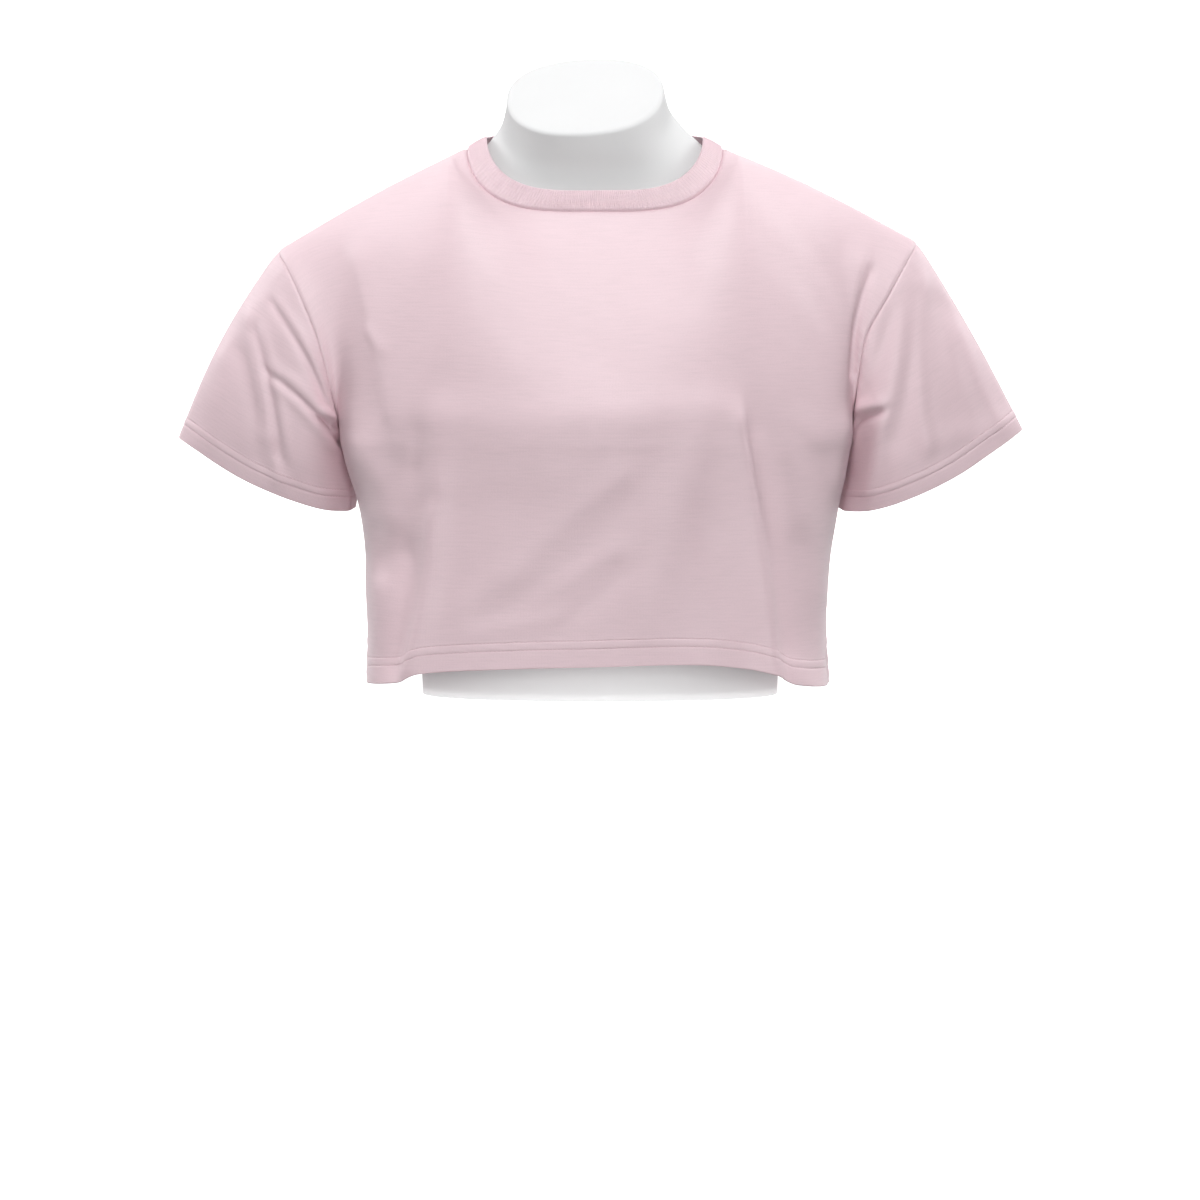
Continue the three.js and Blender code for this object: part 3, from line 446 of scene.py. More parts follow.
def chest_points(face, u, s):
    """Chest: rise_between, pulled to the armhole by |u|^4 and spread beside the neckline."""
    u, s = np.broadcast_arrays(np.asarray(u, float), np.asarray(s, float))
    soft = CROWN_SOFTNESS * (1 - s) ** CROWN_FADE
    points = rise_between(trunk_points(face, u, UNDERARM_Z), soft_crown_points(face, u, soft), u, s)
    below = 1 - s
    beside = np.exp(-(((np.abs(u) - NECK_SHARE + PUSH_INSET) / PUSH_WIDTH) ** 2))
    push = NECK_PUSH * np.sqrt(below) * np.exp(-below / PUSH_REACH) * beside
    points = points + joined(np.where(u < 0, -1, 1) * push, 0, -push / 2)
    for hand in (-1, 1):
        edge = hand + 0 * u
        plain = rise_between(trunk_points(face, edge, UNDERARM_Z),
                             soft_crown_points(face, edge, soft), edge, s)
        pull = np.where((u < 0) == (hand < 0), np.abs(u) ** EDGE_POWER, 0)
        points = points + (armhole_points(hand, face, s) - plain) * pull[..., None]
    return points


def cuff_points(hand, face, turn):
    """Cuff edge from its table, turn 0 at the inner corner to 1 at the outer corner."""
    table = CUFF[hand]
    lift = CUFF_BACK_RISE * np.sin(np.pi * turn) if face["out"] > 0 else 0
    return joined(hand * follow(table, "turn", "x", turn),
                  SIDE_Y + face["out"] * follow(table, "turn", "depth", turn),
                  follow(table, "turn", "z", turn) + lift)


def sleeve_points(hand, face, turn, along):
    """Sleeve: straight from the armhole to the cuff, with a swell that is a half sine, and
    under the arm close to the trunk's side and further back."""
    turn, along = np.broadcast_arrays(np.asarray(turn, float), np.asarray(along, float))
    start = armhole_points(hand, face, turn)
    points = start + (cuff_points(hand, face, turn) - start) * along[..., None]
    arc = np.sin(np.pi * along)
    out = SLEEVE_OUT[hand] * turn * turn * arc
    early = np.clip(along / SLEEVE_EASE_SHARE, 0, 1) ** SLEEVE_EASE_POWER
    ease = SLEEVE_EASE * np.sin(np.pi * early)
    hug = (SLEEVE_HUG[hand] * arc * along - ease) * (1 - turn) ** 2
    backward = SLEEVE_BACK * (1 - turn) ** 3 * smooth((along - SLEEVE_BACK_START) / SLEEVE_BACK_RUN)
    swell = SLEEVE_SWELL * np.sin(np.pi * turn) * arc
    return points + joined(hand * (SLEEVE_OUT_X * out - hug),
                           face["out"] * swell + backward, SLEEVE_OUT_Z * out)


def fold_rise(folds, x, z):
    """Sum of the folds: each is its rise times a bell curve of the distance from its line,
    with a wider bell on the side that it leans to."""
    rise = np.zeros_like(x)
    for row in folds:
        fold = dict(zip(FOLD_COLUMNS, row))
        length = math.hypot(fold["x1"] - fold["x0"], fold["z1"] - fold["z0"])
        dir_x = (fold["x1"] - fold["x0"]) / length
        dir_z = (fold["z1"] - fold["z0"]) / length
        along = ((x - fold["x0"]) * dir_x + (z - fold["z0"]) * dir_z) / length
        aside = (x - fold["x0"]) * dir_z - (z - fold["z0"]) * dir_x
        inside = np.clip(along, 0, 1)
        offset = aside - fold["bow"] * 4 * inside * (1 - inside)
        past = np.maximum(0, np.maximum(-along, along - 1)) * length
        width = fold["width"] * (1 + fold.get("lean", 0) * np.tanh(offset / fold["width"] * 2))
        ends = FOLD_END * fold["width"]
        rise = rise + fold["rise"] * np.exp(-(offset / width) ** 2 - (past / ends) ** 2)
    return rise


def ripple(a, b, waves, height, seed):
    """Slight unevenness: a sum of sines of a and b in seeded directions and wavelengths."""
    rng = np.random.default_rng(seed)
    total = np.zeros(np.broadcast(a, b).shape)
    for low, high in waves:
        for _ in range(5):
            angle, phase = rng.uniform(0, 2 * np.pi, 2)
            step = 2 * np.pi / rng.uniform(low, high)
            total += np.sin((a * np.cos(angle) + b * np.sin(angle)) * step + phase) * low
    return height * total / max(1e-9, np.abs(total).max())


def grid_normals(points, ring, outward):
    """Outward unit normals of a grid from the cross product of its two differences."""
    if ring:
        across = np.roll(points, -1, 1) - np.roll(points, 1, 1)
    else:
        across = np.gradient(points, axis=1)
    up = np.gradient(points, axis=0)
    return unit(np.cross(across, up)) * outward


def run_lengths(points, axis, keep=(0, 1, 2)):
    """Distances along a grid axis from its start, with only the kept coordinates counted."""
    steps = np.linalg.norm(np.diff(points[..., list(keep)], axis=axis), axis=-1)
    pad = [(0, 0), (0, 0)]
    pad[axis] = (1, 0)
    return np.pad(np.cumsum(steps, axis=axis), pad)


def seam_sink(distance, depth=1.3, reach=1.5):
    """Depth of the groove where a seam pulls the cloth in: a bell curve of the distance."""
    return depth * np.exp(-(distance / reach) ** 2)


def seam_pucker(distance, along, height=0.35, reach=8.0, pitch=11.0, phase=0.0):
    """Little puckers beside a seam: an uneven sine along it, fading away from it."""
    wave = np.sin(2 * np.pi * along / pitch + 1.9 * np.sin(along / 17 + phase) + phase)
    return height * wave * np.exp(-distance / reach) * (1 - np.exp(-distance / 1.2))


def stitch_sink(distance, rows, depth=0.38, reach=0.65, tunnel=0.22, spread=2.4):
    """Shallow grooves where the rows of stitches press the hem, less the bell-shaped rise
    of the cloth that they squeeze up between them."""
    grooves = sum(depth * np.exp(-((distance - row) / reach) ** 2) for row in rows)
    return grooves - tunnel * np.exp(-((distance - sum(rows) / 2) / spread) ** 2)


# ---- mesh making
def mesh_object(name, points, faces, uv=None):
    """An object in metres from points in mm and an array of quads or triangles."""
    mesh = bpy.data.meshes.new(name)
    faces = np.asarray(faces, dtype=np.int32)
    corners = faces.shape[1]
    mesh.vertices.add(len(points))
    mesh.vertices.foreach_set("co", (np.asarray(points, float) * MM).ravel().astype(np.float32))
    mesh.loops.add(faces.size)
    mesh.loops.foreach_set("vertex_index", faces.ravel())
    mesh.polygons.add(len(faces))
    mesh.polygons.foreach_set("loop_start", np.arange(0, faces.size, corners, dtype=np.int32))
    mesh.polygons.foreach_set("use_smooth", np.full(len(faces), True))
    if uv is not None:
        flat = (np.asarray(uv, float)[faces.ravel()] * MM).ravel().astype(np.float32)
        mesh.uv_layers.new(name="Cloth").data.foreach_set("uv", flat)
    mesh.update(calc_edges=True)
    mesh.validate()
    item = bpy.data.objects.new(name, mesh)
    bpy.context.scene.collection.objects.link(item)
    return item


def grid_faces(height, width, ring, flip=False, start=0):
    """Quads of a grid of points, turned round if flip is true."""
    rows = np.arange(height - 1)[:, None]
    columns = np.arange(width if ring else width - 1)[None, :]
    after = (columns + 1) % width
    quads = np.stack([rows * width + columns, rows * width + after,
                      (rows + 1) * width + after, (rows + 1) * width + columns], -1)
    quads = quads.reshape(-1, 4) + start
    return quads[:, ::-1] if flip else quads


def strip_faces(a, b, closed):
    """Quads between two runs of point numbers."""
    if closed:
        return np.stack([a, np.roll(a, -1), np.roll(b, -1), b], -1)
    return np.stack([a[:-1], a[1:], b[1:], b[:-1]], -1)


def cloth_shell(name, outer, inner, ring, outward, uv):
    """A closed thin sheet: an outer and an inner grid joined round their edges."""
    height, width = outer.shape[:2]
    count = height * width
    flip = outward < 0
    number = np.arange(count).reshape(height, width)
    faces = [grid_faces(height, width, ring, flip),
             grid_faces(height, width, ring, not flip, count)]
    edges = [(number[0] + count, number[0]), (number[-1], number[-1] + count)]
    if not ring:
        edges += [(number[:, 0], number[:, 0] + count), (number[:, -1] + count, number[:, -1])]
    for a, b in edges:
        strip = strip_faces(a, b, ring)
        faces.append(strip[:, ::-1] if flip else strip)
    points = np.concatenate([outer.reshape(-1, 3), inner.reshape(-1, 3)])
    flat = np.tile(uv.reshape(-1, 2), (2, 1))
    return mesh_object(name, points, np.concatenate(faces), flat)


def near_edge(step, reach=9.0, first=0.45, growth=1.35):
    """Distances from an edge that start close together and widen to the grid step."""
    places, gap = [0.0], first
    while places[-1] + gap < reach:
        places.append(places[-1] + gap)
        gap = min(step, gap * growth)
    return np.array(places)


def hem_distances(rows, depth):
    """Distances from a hem's edge, close together at the edge, the stitches and the fold."""
    places = [0, 0.25, 0.6, 1.0, 1.6, 2.6, 4.0, 6.0, 8.5]
    for row in rows:
        places += [row + aside for aside in (-1.6, -0.9, -0.45, 0, 0.45, 0.9, 1.6)]
    places += [depth + past for past in (1.2, 2.4, 4.5)]
    places = np.unique(np.round(places, 3))
    return places[np.concatenate([[True], np.diff(places) > 0.2])]


def panel_parameters(step):
    """Grid lines of a body panel above its hem: columns u, and shares of trunk and chest."""
    side = 1 - near_edge(step) / PANEL_HALF
    count = int((side[-1] - NECK_SHARE) * PANEL_HALF / step)
    shoulder = np.linspace(NECK_SHARE + 0.012, side[-1], count)
    even = np.linspace(-1, 1, int(2 * NECK_SHARE * PANEL_HALF * 1.75 / step))
    neck = NECK_SHARE * (0.45 * np.sin(even * np.pi / 2) + 0.55 * even)
    right = np.unique(np.concatenate([shoulder, side]))
    columns = np.concatenate([-right[::-1], neck, right])
    trunk = np.linspace(0, 1, int(TRUNK_RUN / step))[1:]
    top = 1 - near_edge(step) / SHOULDER_RUN
    chest = np.unique(np.concatenate([np.linspace(0, top[-1], int(CHEST_RUN / step))[1:], top]))
    return columns, trunk, chest


def displaced(base, rise, ring, outward):
    """A grid moved out by its rise, with its new normals."""
    middle = base + grid_normals(base, ring, outward) * rise[..., None]
    return middle, grid_normals(middle, ring, outward)


def panel_surface(face, folds, stitching, cloth, seed):
    """A body panel: trunk rows from the hem, then chest rows, shifted out by the folds."""
    stitch_rows = [stitching.lower_row / MM, stitching.upper_row / MM]
    columns, trunk, chest = panel_parameters(cloth.grid_step / MM)
    hem = hem_distances(stitch_rows, cloth.hem_depth / MM)
    hem_z = follow(face["hem"], "across", "z", columns)[None, :]
    band = trunk_points(face, columns[None, :], hem_z + hem[:, None])
    start = hem_z + hem[-1]
    body = trunk_points(face, columns[None, :], start + (UNDERARM_Z - start) * trunk[:, None])
    base = np.concatenate([band, body, chest_points(face, columns[None, :], chest[:, None])])
    from_hem, from_left = run_lengths(base, 0), run_lengths(base, 1)
    from_side = np.minimum(from_left, from_left[:, -1:] - from_left)
    from_top = from_hem[-1:] - from_hem
    rise = fold_rise(folds, base[..., 0], base[..., 2]) * (
        smooth(from_side / SIDE_FADE) * smooth(from_top / TOP_FADE))
    rise += ripple(from_left, from_hem, *PANEL_RIPPLE, seed) * smooth(
        from_side / RIPPLE_FADE) * smooth(from_top / RIPPLE_FADE)
    rise += seam_pucker(from_side, from_hem, phase=seed)
    rise += seam_pucker(from_top, from_left, height=0.4, reach=9, pitch=8.5, phase=seed + 1)
    rise -= seam_sink(from_side) + seam_sink(from_top)
    rise -= stitch_sink(from_hem, stitch_rows)
    middle, normals = displaced(base, rise, False, -face["out"])
    flat_u = run_lengths(base, 1, (0, 1))
    flat_u = flat_u - flat_u[:, np.argmin(np.abs(columns))][:, None]
    flat_v = run_lengths(base, 0, (1, 2)) + hem_z
    return {"middle": middle, "normals": normals, "from_hem": from_hem,
            "uv": np.stack([flat_u, flat_v], -1), "stitch_rows": stitch_rows}


def sleeve_surface(hand, stitching, cloth, seed):
    """A sleeve: rings from the armhole to the cuff, shifted out by the folds."""
    step = cloth.grid_step / MM
    stitch_rows = [stitching.cuff_lower_row / MM, stitching.cuff_upper_row / MM]
    hem = hem_distances(stitch_rows, cloth.cuff_depth / MM)
    count = int(SLEEVE_HALF_GIRTH / step)
    turns = 0.5 - 0.5 * np.cos(np.pi * np.arange(count + 1) / count)
    turns = 0.55 * turns + 0.45 * np.linspace(0, 1, count + 1)
    back_turns = turns[1:-1][::-1]

    def at(along):
        return np.concatenate([
            sleeve_points(hand, FRONT, turns[None, :], along[:, :count + 1]),
            sleeve_points(hand, BACK, back_turns[None, :], along[:, count + 1:])], 1)

    ends = at(np.stack([np.zeros(2 * count), np.ones(2 * count)]))
    length = np.linalg.norm(ends[1] - ends[0], axis=-1)
    hem_start = 1 - hem[-1] / length
    first = near_edge(step, 7.0)[:, None] / length[None, :]
    body = np.linspace(0, 1, int(SLEEVE_RUN / step))[1:, None]
    rest = first[-1:] + (hem_start[None, :] - first[-1:]) * body
    last = 1 - hem[::-1][1:, None] / length[None, :]
    along = np.concatenate([first, rest, last])
    base = at(along)
    from_seam = run_lengths(base, 0)
    from_cuff = from_seam[-1:] - from_seam
    around = run_lengths(np.concatenate([base, base[:, :1]], 1), 1)
    girth, around = around[:, -1:], around[:, :-1]
    from_under = np.minimum(around, girth - around)
    turn = np.concatenate([turns, back_turns])[None, :]
    inward = turn * (1 - turn)
    x, z = base[..., 0], base[..., 2]
    is_front = np.arange(2 * count)[None, :] <= count
    rise = np.where(is_front, fold_rise(SLEEVE_FOLDS[hand, "front"], x, z),
                    fold_rise(SLEEVE_FOLDS[hand, "back"], x, z)) * (
        smooth(along / 0.12) * smooth(inward * 16))
    rise += ripple(around, from_seam, *SLEEVE_RIPPLE, seed) * smooth(
        from_seam / RIPPLE_FADE) * smooth(inward * 14)
    rise += seam_pucker(from_seam, around, height=0.4, pitch=10, phase=seed)
    rise -= seam_sink(from_seam) + seam_sink(from_under, 0.6, 1.4)
    rise -= seam_sink(from_seam, 0.8, 7.0)
    rise -= stitch_sink(from_cuff, stitch_rows)
    middle, normals = displaced(base, rise, True, -hand)
    flat_u = around - around[:, count][:, None]
    return {"middle": middle, "normals": normals, "from_hem": from_cuff,
            "uv": np.stack([flat_u, from_cuff], -1), "stitch_rows": stitch_rows}


def wall_from(name, surface, cloth, hem_depth, ring, outward):
    """The sheet between half a thickness out and in, doubled below the hem's fold. Its edge
    is a quarter circle: the root of t times 2 minus t."""
    half = cloth.thickness / MM / 2
    from_hem = surface["from_hem"]
    t = np.clip(from_hem / EDGE_ROUND, 0, 1)
    edge = np.sqrt(t * (2 - t))
    doubled = DOUBLED * (1 - smooth((from_hem - hem_depth) / 1.0)) * edge
    outer = surface["middle"] + surface["normals"] * (half * edge + doubled * 0.25)[..., None]
    inner = surface["middle"] - surface["normals"] * (half * edge + doubled + HAIR)[..., None]
    return cloth_shell(name, outer, inner, ring, outward, surface["uv"])


def capsules(name, starts, ends, normals, width):
    """Stitches: six-sided spindles from start to end, thin at both ends."""
    axis = ends - starts
    side = unit(np.cross(axis, normals))
    lift = unit(np.cross(side, axis))
    angles = np.arange(6) * np.pi / 3
    rings = []
    for share, fat in ((0.0, 0.25), (0.18, 0.9), (0.5, 1.0), (0.82, 0.9), (1.0, 0.25)):
        centre = starts + axis * share + lift * width * (0.35 * math.sin(math.pi * share) - 0.1)
        rings.append(centre[:, None]
                     + side[:, None] * (np.cos(angles) * fat * width / 2)[None, :, None]
                     + lift[:, None] * (np.sin(angles) * fat * width / 2)[None, :, None])
    points = np.stack(rings, 1)
    lids = np.array([[3, 2, 1, 0], [0, 5, 4, 3], [24, 25, 26, 27], [27, 28, 29, 24]])
    faces = np.concatenate([grid_faces(5, 6, True), lids])
    faces = (faces[None] + (np.arange(len(starts)) * 30)[:, None, None]).reshape(-1, 4)
    return mesh_object(name, points.reshape(-1, 3), faces)


def stitch_run(surface, lift, pitch, closed):
    """Stitch ends along each row of a hem: points above the middle, a stitch apart."""
    rows = []
    for row in surface["stitch_rows"]:
        level = np.argmin(np.abs(surface["from_hem"].mean(1) - row))
        facing = surface["normals"][level]
        path = surface["middle"][level] + facing * lift
        if closed:
            path, facing = (np.concatenate([run, run[:1]]) for run in (path, facing))
        run = np.concatenate([[0], np.cumsum(np.linalg.norm(np.diff(path, axis=0), axis=1))])
        margin = 0 if closed else END_MARGIN
        count = int((run[-1] - 2 * margin) / pitch)
        marks = margin + (run[-1] - 2 * margin) * np.arange(count + 1) / count

        def at(places, values):
            return np.stack([np.interp(places, run, values[:, k]) for k in range(3)], -1)

        rows.append((at(marks[:-1] + STITCH_GAP * pitch, path),
                     at(marks[1:] - STITCH_GAP * pitch, path), unit(at(marks[:-1], facing))))
    return [np.concatenate(parts) for parts in zip(*rows)]


# ---- materials
class Finish:
    """A material with one Principled shader, and short ways to add nodes to it."""

    def __init__(self, name):
        self.material = bpy.data.materials.new(name)
        self.material.use_nodes = True
        self.material.node_tree.nodes.clear()
        self.shader = self.add("BsdfPrincipled")
        self.add("OutputMaterial", {"Surface": self.shader.outputs["BSDF"]})

    def give(self, node, inputs):
        """Gives a node its inputs: a socket is linked, a value is set."""
        for name, value in inputs.items():
            if isinstance(value, bpy.types.NodeSocket):
                self.material.node_tree.links.new(value, node.inputs[name])
            else:
                node.inputs[name].default_value = value
        return node

    def add(self, kind, inputs=None, **settings):
        """A new node with its settings and inputs."""
        node = self.material.node_tree.nodes.new("ShaderNode" + kind)
        for name, value in settings.items():
            setattr(node, name, value)
        return self.give(node, inputs or {})

    def mapped(self, place, scale):
        return self.add("Mapping", {"Vector": place, "Scale": scale}).outputs["Vector"]

    def noise(self, place, scale, detail, roughness=0.55):
        return self.add("TexNoise", {"Vector": place, "Scale": scale, "Detail": detail,
                                     "Roughness": roughness}).outputs["Fac"]

    def weighted(self, parts):
        """The sum of sockets times their weights."""
        total = None
        for socket, weight in parts:
            part = self.add("Math", {0: socket, 1: weight}, operation="MULTIPLY").outputs[0]
            total = part if total is None else self.add(
                "Math", {0: total, 1: part}, operation="ADD").outputs[0]
        return total

    def tones(self, factor, colour, stops):
        """The base colour: a ramp of shares of one colour over a factor."""
        ramp = self.add("ValToRGB", {"Fac": factor})
        elements = ramp.color_ramp.elements
        while len(elements) < len(stops):
            elements.new(0.5)
        for element, (position, share) in zip(elements, stops):
            element.position = position
            element.color = (*(min(1.0, c * share) for c in colour), 1)
        self.give(self.shader, {"Base Color": ramp.outputs["Color"]})

    def bump(self, layers):
        """Bump nodes one after another: height, strength and distance of each."""
        before = {}
        for height, strength, distance in layers:
            node = self.add("Bump", {"Height": height, "Strength": strength,
                                     "Distance": distance, **before})
            before = {"Normal": node.outputs["Normal"]}
        self.give(self.shader, before)


def jersey_material(name, colour):
    """Cotton jersey: slubby yarn streaks across, fine wales up, a soft fuzz."""
    finish = Finish(name)
    cloth = finish.add("UVMap", uv_map="Cloth").outputs["UV"]
    streaks = finish.noise(finish.mapped(cloth, (45, 620, 1)), 1.0, 2.0)
    clouds = finish.noise(finish.mapped(cloth, (14, 18, 1)), 1.0, 3.0)
    fibre = finish.noise(finish.mapped(cloth, (900, 700, 1)), 1.0, 4.0, 0.7)
    finish.tones(finish.weighted([(streaks, 0.35), (clouds, 0.25), (fibre, 0.4)]), colour,
                 [(0.32, 0.93), (0.5, 1.0), (0.68, 1.05)])
    wales = finish.add(
        "TexWave", {"Vector": finish.mapped(cloth, (270, 270, 1)), "Scale": 1.0,
                    "Distortion": 1.2, "Detail": 1.0, "Detail Scale": 3.0},
        wave_type="BANDS", bands_direction="X").outputs["Fac"]
    finish.bump([(wales, 0.1, 0.0002), (streaks, 0.2, 0.0004), (fibre, 0.35, 0.0003)])
    finish.give(finish.shader, {
        "Roughness": 0.55, "Specular IOR Level": 1.0, "Sheen Weight": 0.1,
        "Sheen Roughness": 0.5, "Sheen Tint": (1.0, 0.93, 0.95, 1)})


def thread_material(name, colour):
    """Thread: slightly brighter, with a twist of fine noise."""
    finish = Finish(name)
    place = finish.add("TexCoord").outputs["Object"]
    finish.tones(finish.noise(place, 2500.0, 2.0), colour, [(0.3, 0.9), (0.7, 1.06)])
    finish.give(finish.shader, {"Roughness": 0.7, "Sheen Weight": 0.15})


def form_material(name, colour):
    """Moulded plastic: matte white with the faintest unevenness."""
    finish = Finish(name)
    place = finish.add("TexCoord").outputs["Object"]
    finish.tones(finish.noise(place, 9.0, 2.0), colour, [(0.3, 0.99), (0.7, 1.01)])
    finish.bump([(finish.noise(place, 900.0, 3.0), 0.05, 0.0002)])
    finish.give(finish.shader, {"Roughness": 0.6, "Specular IOR Level": 0.3})


def stage_material(name, colour, glow):
    """A plain surface that glows a little."""
    finish = Finish(name)
    finish.give(finish.shader, {
        "Base Color": (*colour, 1), "Roughness": 0.9, "Specular IOR Level": 0.0,
        "Emission Color": (*colour, 1), "Emission Strength": glow})
    return finish.material


def material_for(kind):
    """One material of each finish, made once."""
    if kind not in bpy.data.materials:
        cloth, form = bpy.context.scene.crop_top_cloth, bpy.context.scene.crop_top_form
        make, colour = {
            "Jersey": (jersey_material, cloth.jersey), "Rib": (jersey_material, cloth.rib),
            "Thread": (thread_material, cloth.thread), "Form": (form_material, form.shell),
        }[kind]
        make(kind, tuple(colour))
    return bpy.data.materials[kind]


def settle(item, kind, nodes=()):
    """Gives a finished piece its material and its place in the frame."""
    item.data.materials.append(material_for(kind))
    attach(item, "root")
    if nodes:
        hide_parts(*nodes)
    return item


def add_hem_thread(context, name, surface, closed):
    """The rows of stitches of a hem."""
    cloth, stitching = context.scene.crop_top_cloth, context.scene.crop_top_stitching
    lift = cloth.thickness / MM / 2 + THREAD_LIFT
    run = stitch_run(surface, lift, stitching.stitch / MM, closed)
    return settle(capsules(name, *run, stitching.thread_width / MM), "Thread")


# ---- dress form shape, in mm
NECK_POINTS, SHOULDER_POINTS, CAP_POINTS = 73, 22, 12
TRUNK_RINGS, CHEST_RINGS, NECK_RINGS = 30, 60, 34


def form_trunk(face, u, z):
    """The form below the arms: at height z a half superellipse, u from -1 to 1."""
    angle = u * np.pi / 2
    r = square_radius(angle, FORM_SQUARE)
    half = follow(FORM_TRUNK, "z", "half", z)
    depth = follow(FORM_TRUNK, "z", face["depth"], z)
    return joined(half * r * np.sin(angle), SIDE_Y + face["out"] * depth * r * np.cos(angle), z)


def form_chest(face, u, s):
    """The form's chest: the trunk carried up, which turns into the cloth's chest moved in
    by a gap that is least at the shoulders."""
    u, s = np.broadcast_arrays(u, s)
    place = u * (1 - (1 - FORM_TIP_SHARE) * smooth(s * 1.6))
    step = 0.01

    def at(du, ds):
        return chest_points(face, np.clip(place + du, -1, 1), np.clip(s + ds, 0, 1))

    normal = unit(np.cross(at(step, 0) - at(-step, 0), at(0, step) - at(0, -step)))
    near = smooth((s - 0.6) / 0.34) * smooth((np.abs(place) - 0.46) / 0.1)
    gap = FORM_WALL + FORM_CLEAR + FORM_HOLLOW * (1 - near)
    under = at(0, 0) + face["out"] * normal * gap[..., None]
    own = form_trunk(face, u, UNDERARM_Z + FORM_CHEST_CARRY * s)
    return own + (under - own) * smooth(s / FORM_CHEST_BLEND)[..., None]


def form_ring(front, back, bulge):
    """One ring of the form: the front, the back and between them two sides that stand out
    by a parabola."""
    shares = np.linspace(0, 1, CAP_POINTS + 2)[1:-1, None]
    home = back[::-1]

    def side(a, b, out):
        points = a + (b - a) * shares
        points[:, 0] += out * 4 * shares[:, 0] * (1 - shares[:, 0])
        return points

    return np.concatenate([front, side(front[-1], home[0], bulge), home,
                           side(home[-1], front[0], -bulge)])


def form_skin(columns, neck_u):
    """Rings from the flat base to the shoulders, where front and back meet in one line."""
    rings = []
    for t in np.linspace(0, 1, TRUNK_RINGS):
        z = UNDERARM_Z * t + 0 * columns
        rings.append(form_ring(form_trunk(FRONT, columns, z), form_trunk(BACK, columns, z), 0))
    even = np.linspace(0, 1, CHEST_RINGS)[1:]
    shares = np.sin(even * np.pi / 2) * 0.5 + even * 0.5
    shares[-1] = 1.0
    for s in shares:
        front, back = form_chest(FRONT, columns, s), form_chest(BACK, columns, s)
        if s == 1:
            outside = (np.abs(columns) > neck_u - 1e-6)[:, None]
            front = np.where(outside, (front + back) / 2, front)
            back = np.where(outside, front, back)
        rings.append(form_ring(front, back, FORM_SHOULDER_BULGE * np.sin(np.pi * s) * (1 - s)))
    return np.stack(rings)


def form_neck_ring(place, tighten=0.0):
    """A ring of the neck: a superellipse between the four edges of FORM_NECK, tilted to
    their heights and drawn in by a share."""
    turns = np.linspace(-1, 1, NECK_POINTS)
    angles = np.concatenate([turns, turns[1:-1][::-1]]) * np.pi / 2
    at_front = np.arange(len(angles)) < NECK_POINTS
    left, right, front, back, left_z, right_z, front_z, back_z = (
        follow(FORM_NECK, "ring", column, place) for column in list(FORM_NECK)[1:])
    r = square_radius(angles, FORM_SQUARE)
    aside, ahead = r * np.sin(angles) * (1 - tighten), r * np.cos(angles) * (1 - tighten)
    middle_z = (left_z + right_z) / 2
    return joined((left + right) / 2 + (right - left) / 2 * aside,
                  SIDE_Y + (np.where(at_front, front, back) - SIDE_Y) * ahead,
                  middle_z + (right_z - left_z) / 2 * aside
                  + (np.where(at_front, front_z, back_z) - middle_z) * ahead)


def form_neck(base_loop, radius):
    """Rings from the shoulders up the neck, round the cap's edge by a quadratic curve and
    over the cap."""
    top = FORM_NECK["ring"][-1]
    collar, corner = form_neck_ring(0.0), form_neck_ring(top)
    rings = [base_loop + (collar - base_loop) * t for t in (0.33, 0.67)]
    below = top - radius / np.linalg.norm(corner - form_neck_ring(top - 1), axis=1)
    rings += [form_neck_ring(below * share) for share in np.linspace(0, 1, NECK_RINGS)]
    start, inside = rings[-1], form_neck_ring(top, radius / FORM_CAP_RADIUS)
    rings += [start * (1 - t) ** 2 + corner * 2 * t * (1 - t) + inside * t * t
              for t in np.linspace(0, 1, 8)[1:]]
    return np.stack(rings + [form_neck_ring(top, share) for share in (0.1, 0.3, 0.6, 0.85)])


def whole_form(radius):
    """Points and triangles of the form: its skin and neck joined, and both ends closed."""
    neck_u = NECK_SHARE / FORM_TIP_SHARE
    shoulder = np.linspace(neck_u, 1, SHOULDER_POINTS)
    columns = np.concatenate([-shoulder[::-1][:-1], np.linspace(-neck_u, neck_u, NECK_POINTS),
                              shoulder[1:]])
    skin = form_skin(columns, neck_u)
    height, width = skin.shape[:2]
    first = SHOULDER_POINTS - 1
    last = first + NECK_POINTS - 1
    home = 2 * len(columns) + CAP_POINTS - 1
    loop = np.concatenate([np.arange(first, last + 1),
                           home - np.arange(first + 1, last)[::-1]])
    neck = form_neck(skin[-1][loop], radius)
    count = len(loop)
    points = np.concatenate([skin.reshape(-1, 3), neck.reshape(-1, 3),
                             [skin[0].mean(0)], [neck[-1].mean(0)]])
    start = height * width
    joint = np.concatenate([start - width + loop, start + np.arange(neck.size // 3)])
    faces = np.concatenate([grid_faces(height, width, True),
                            joint[grid_faces(len(neck) + 1, count, True)]])
    base, rim = np.arange(width), start + (len(neck) - 1) * count + np.arange(count)
    triangles = np.concatenate([
        faces[:, [0, 1, 2]], faces[:, [0, 2, 3]],
        np.stack([np.full(width, len(points) - 2), np.roll(base, -1), base], -1),
        np.stack([np.full(count, len(points) - 1), rim, np.roll(rim, -1)], -1)])
    points, index = np.unique(np.round(points, 3), axis=0, return_inverse=True)
    triangles = index.ravel()[triangles]
    return points, triangles[(triangles != np.roll(triangles, 1, 1)).all(1)]


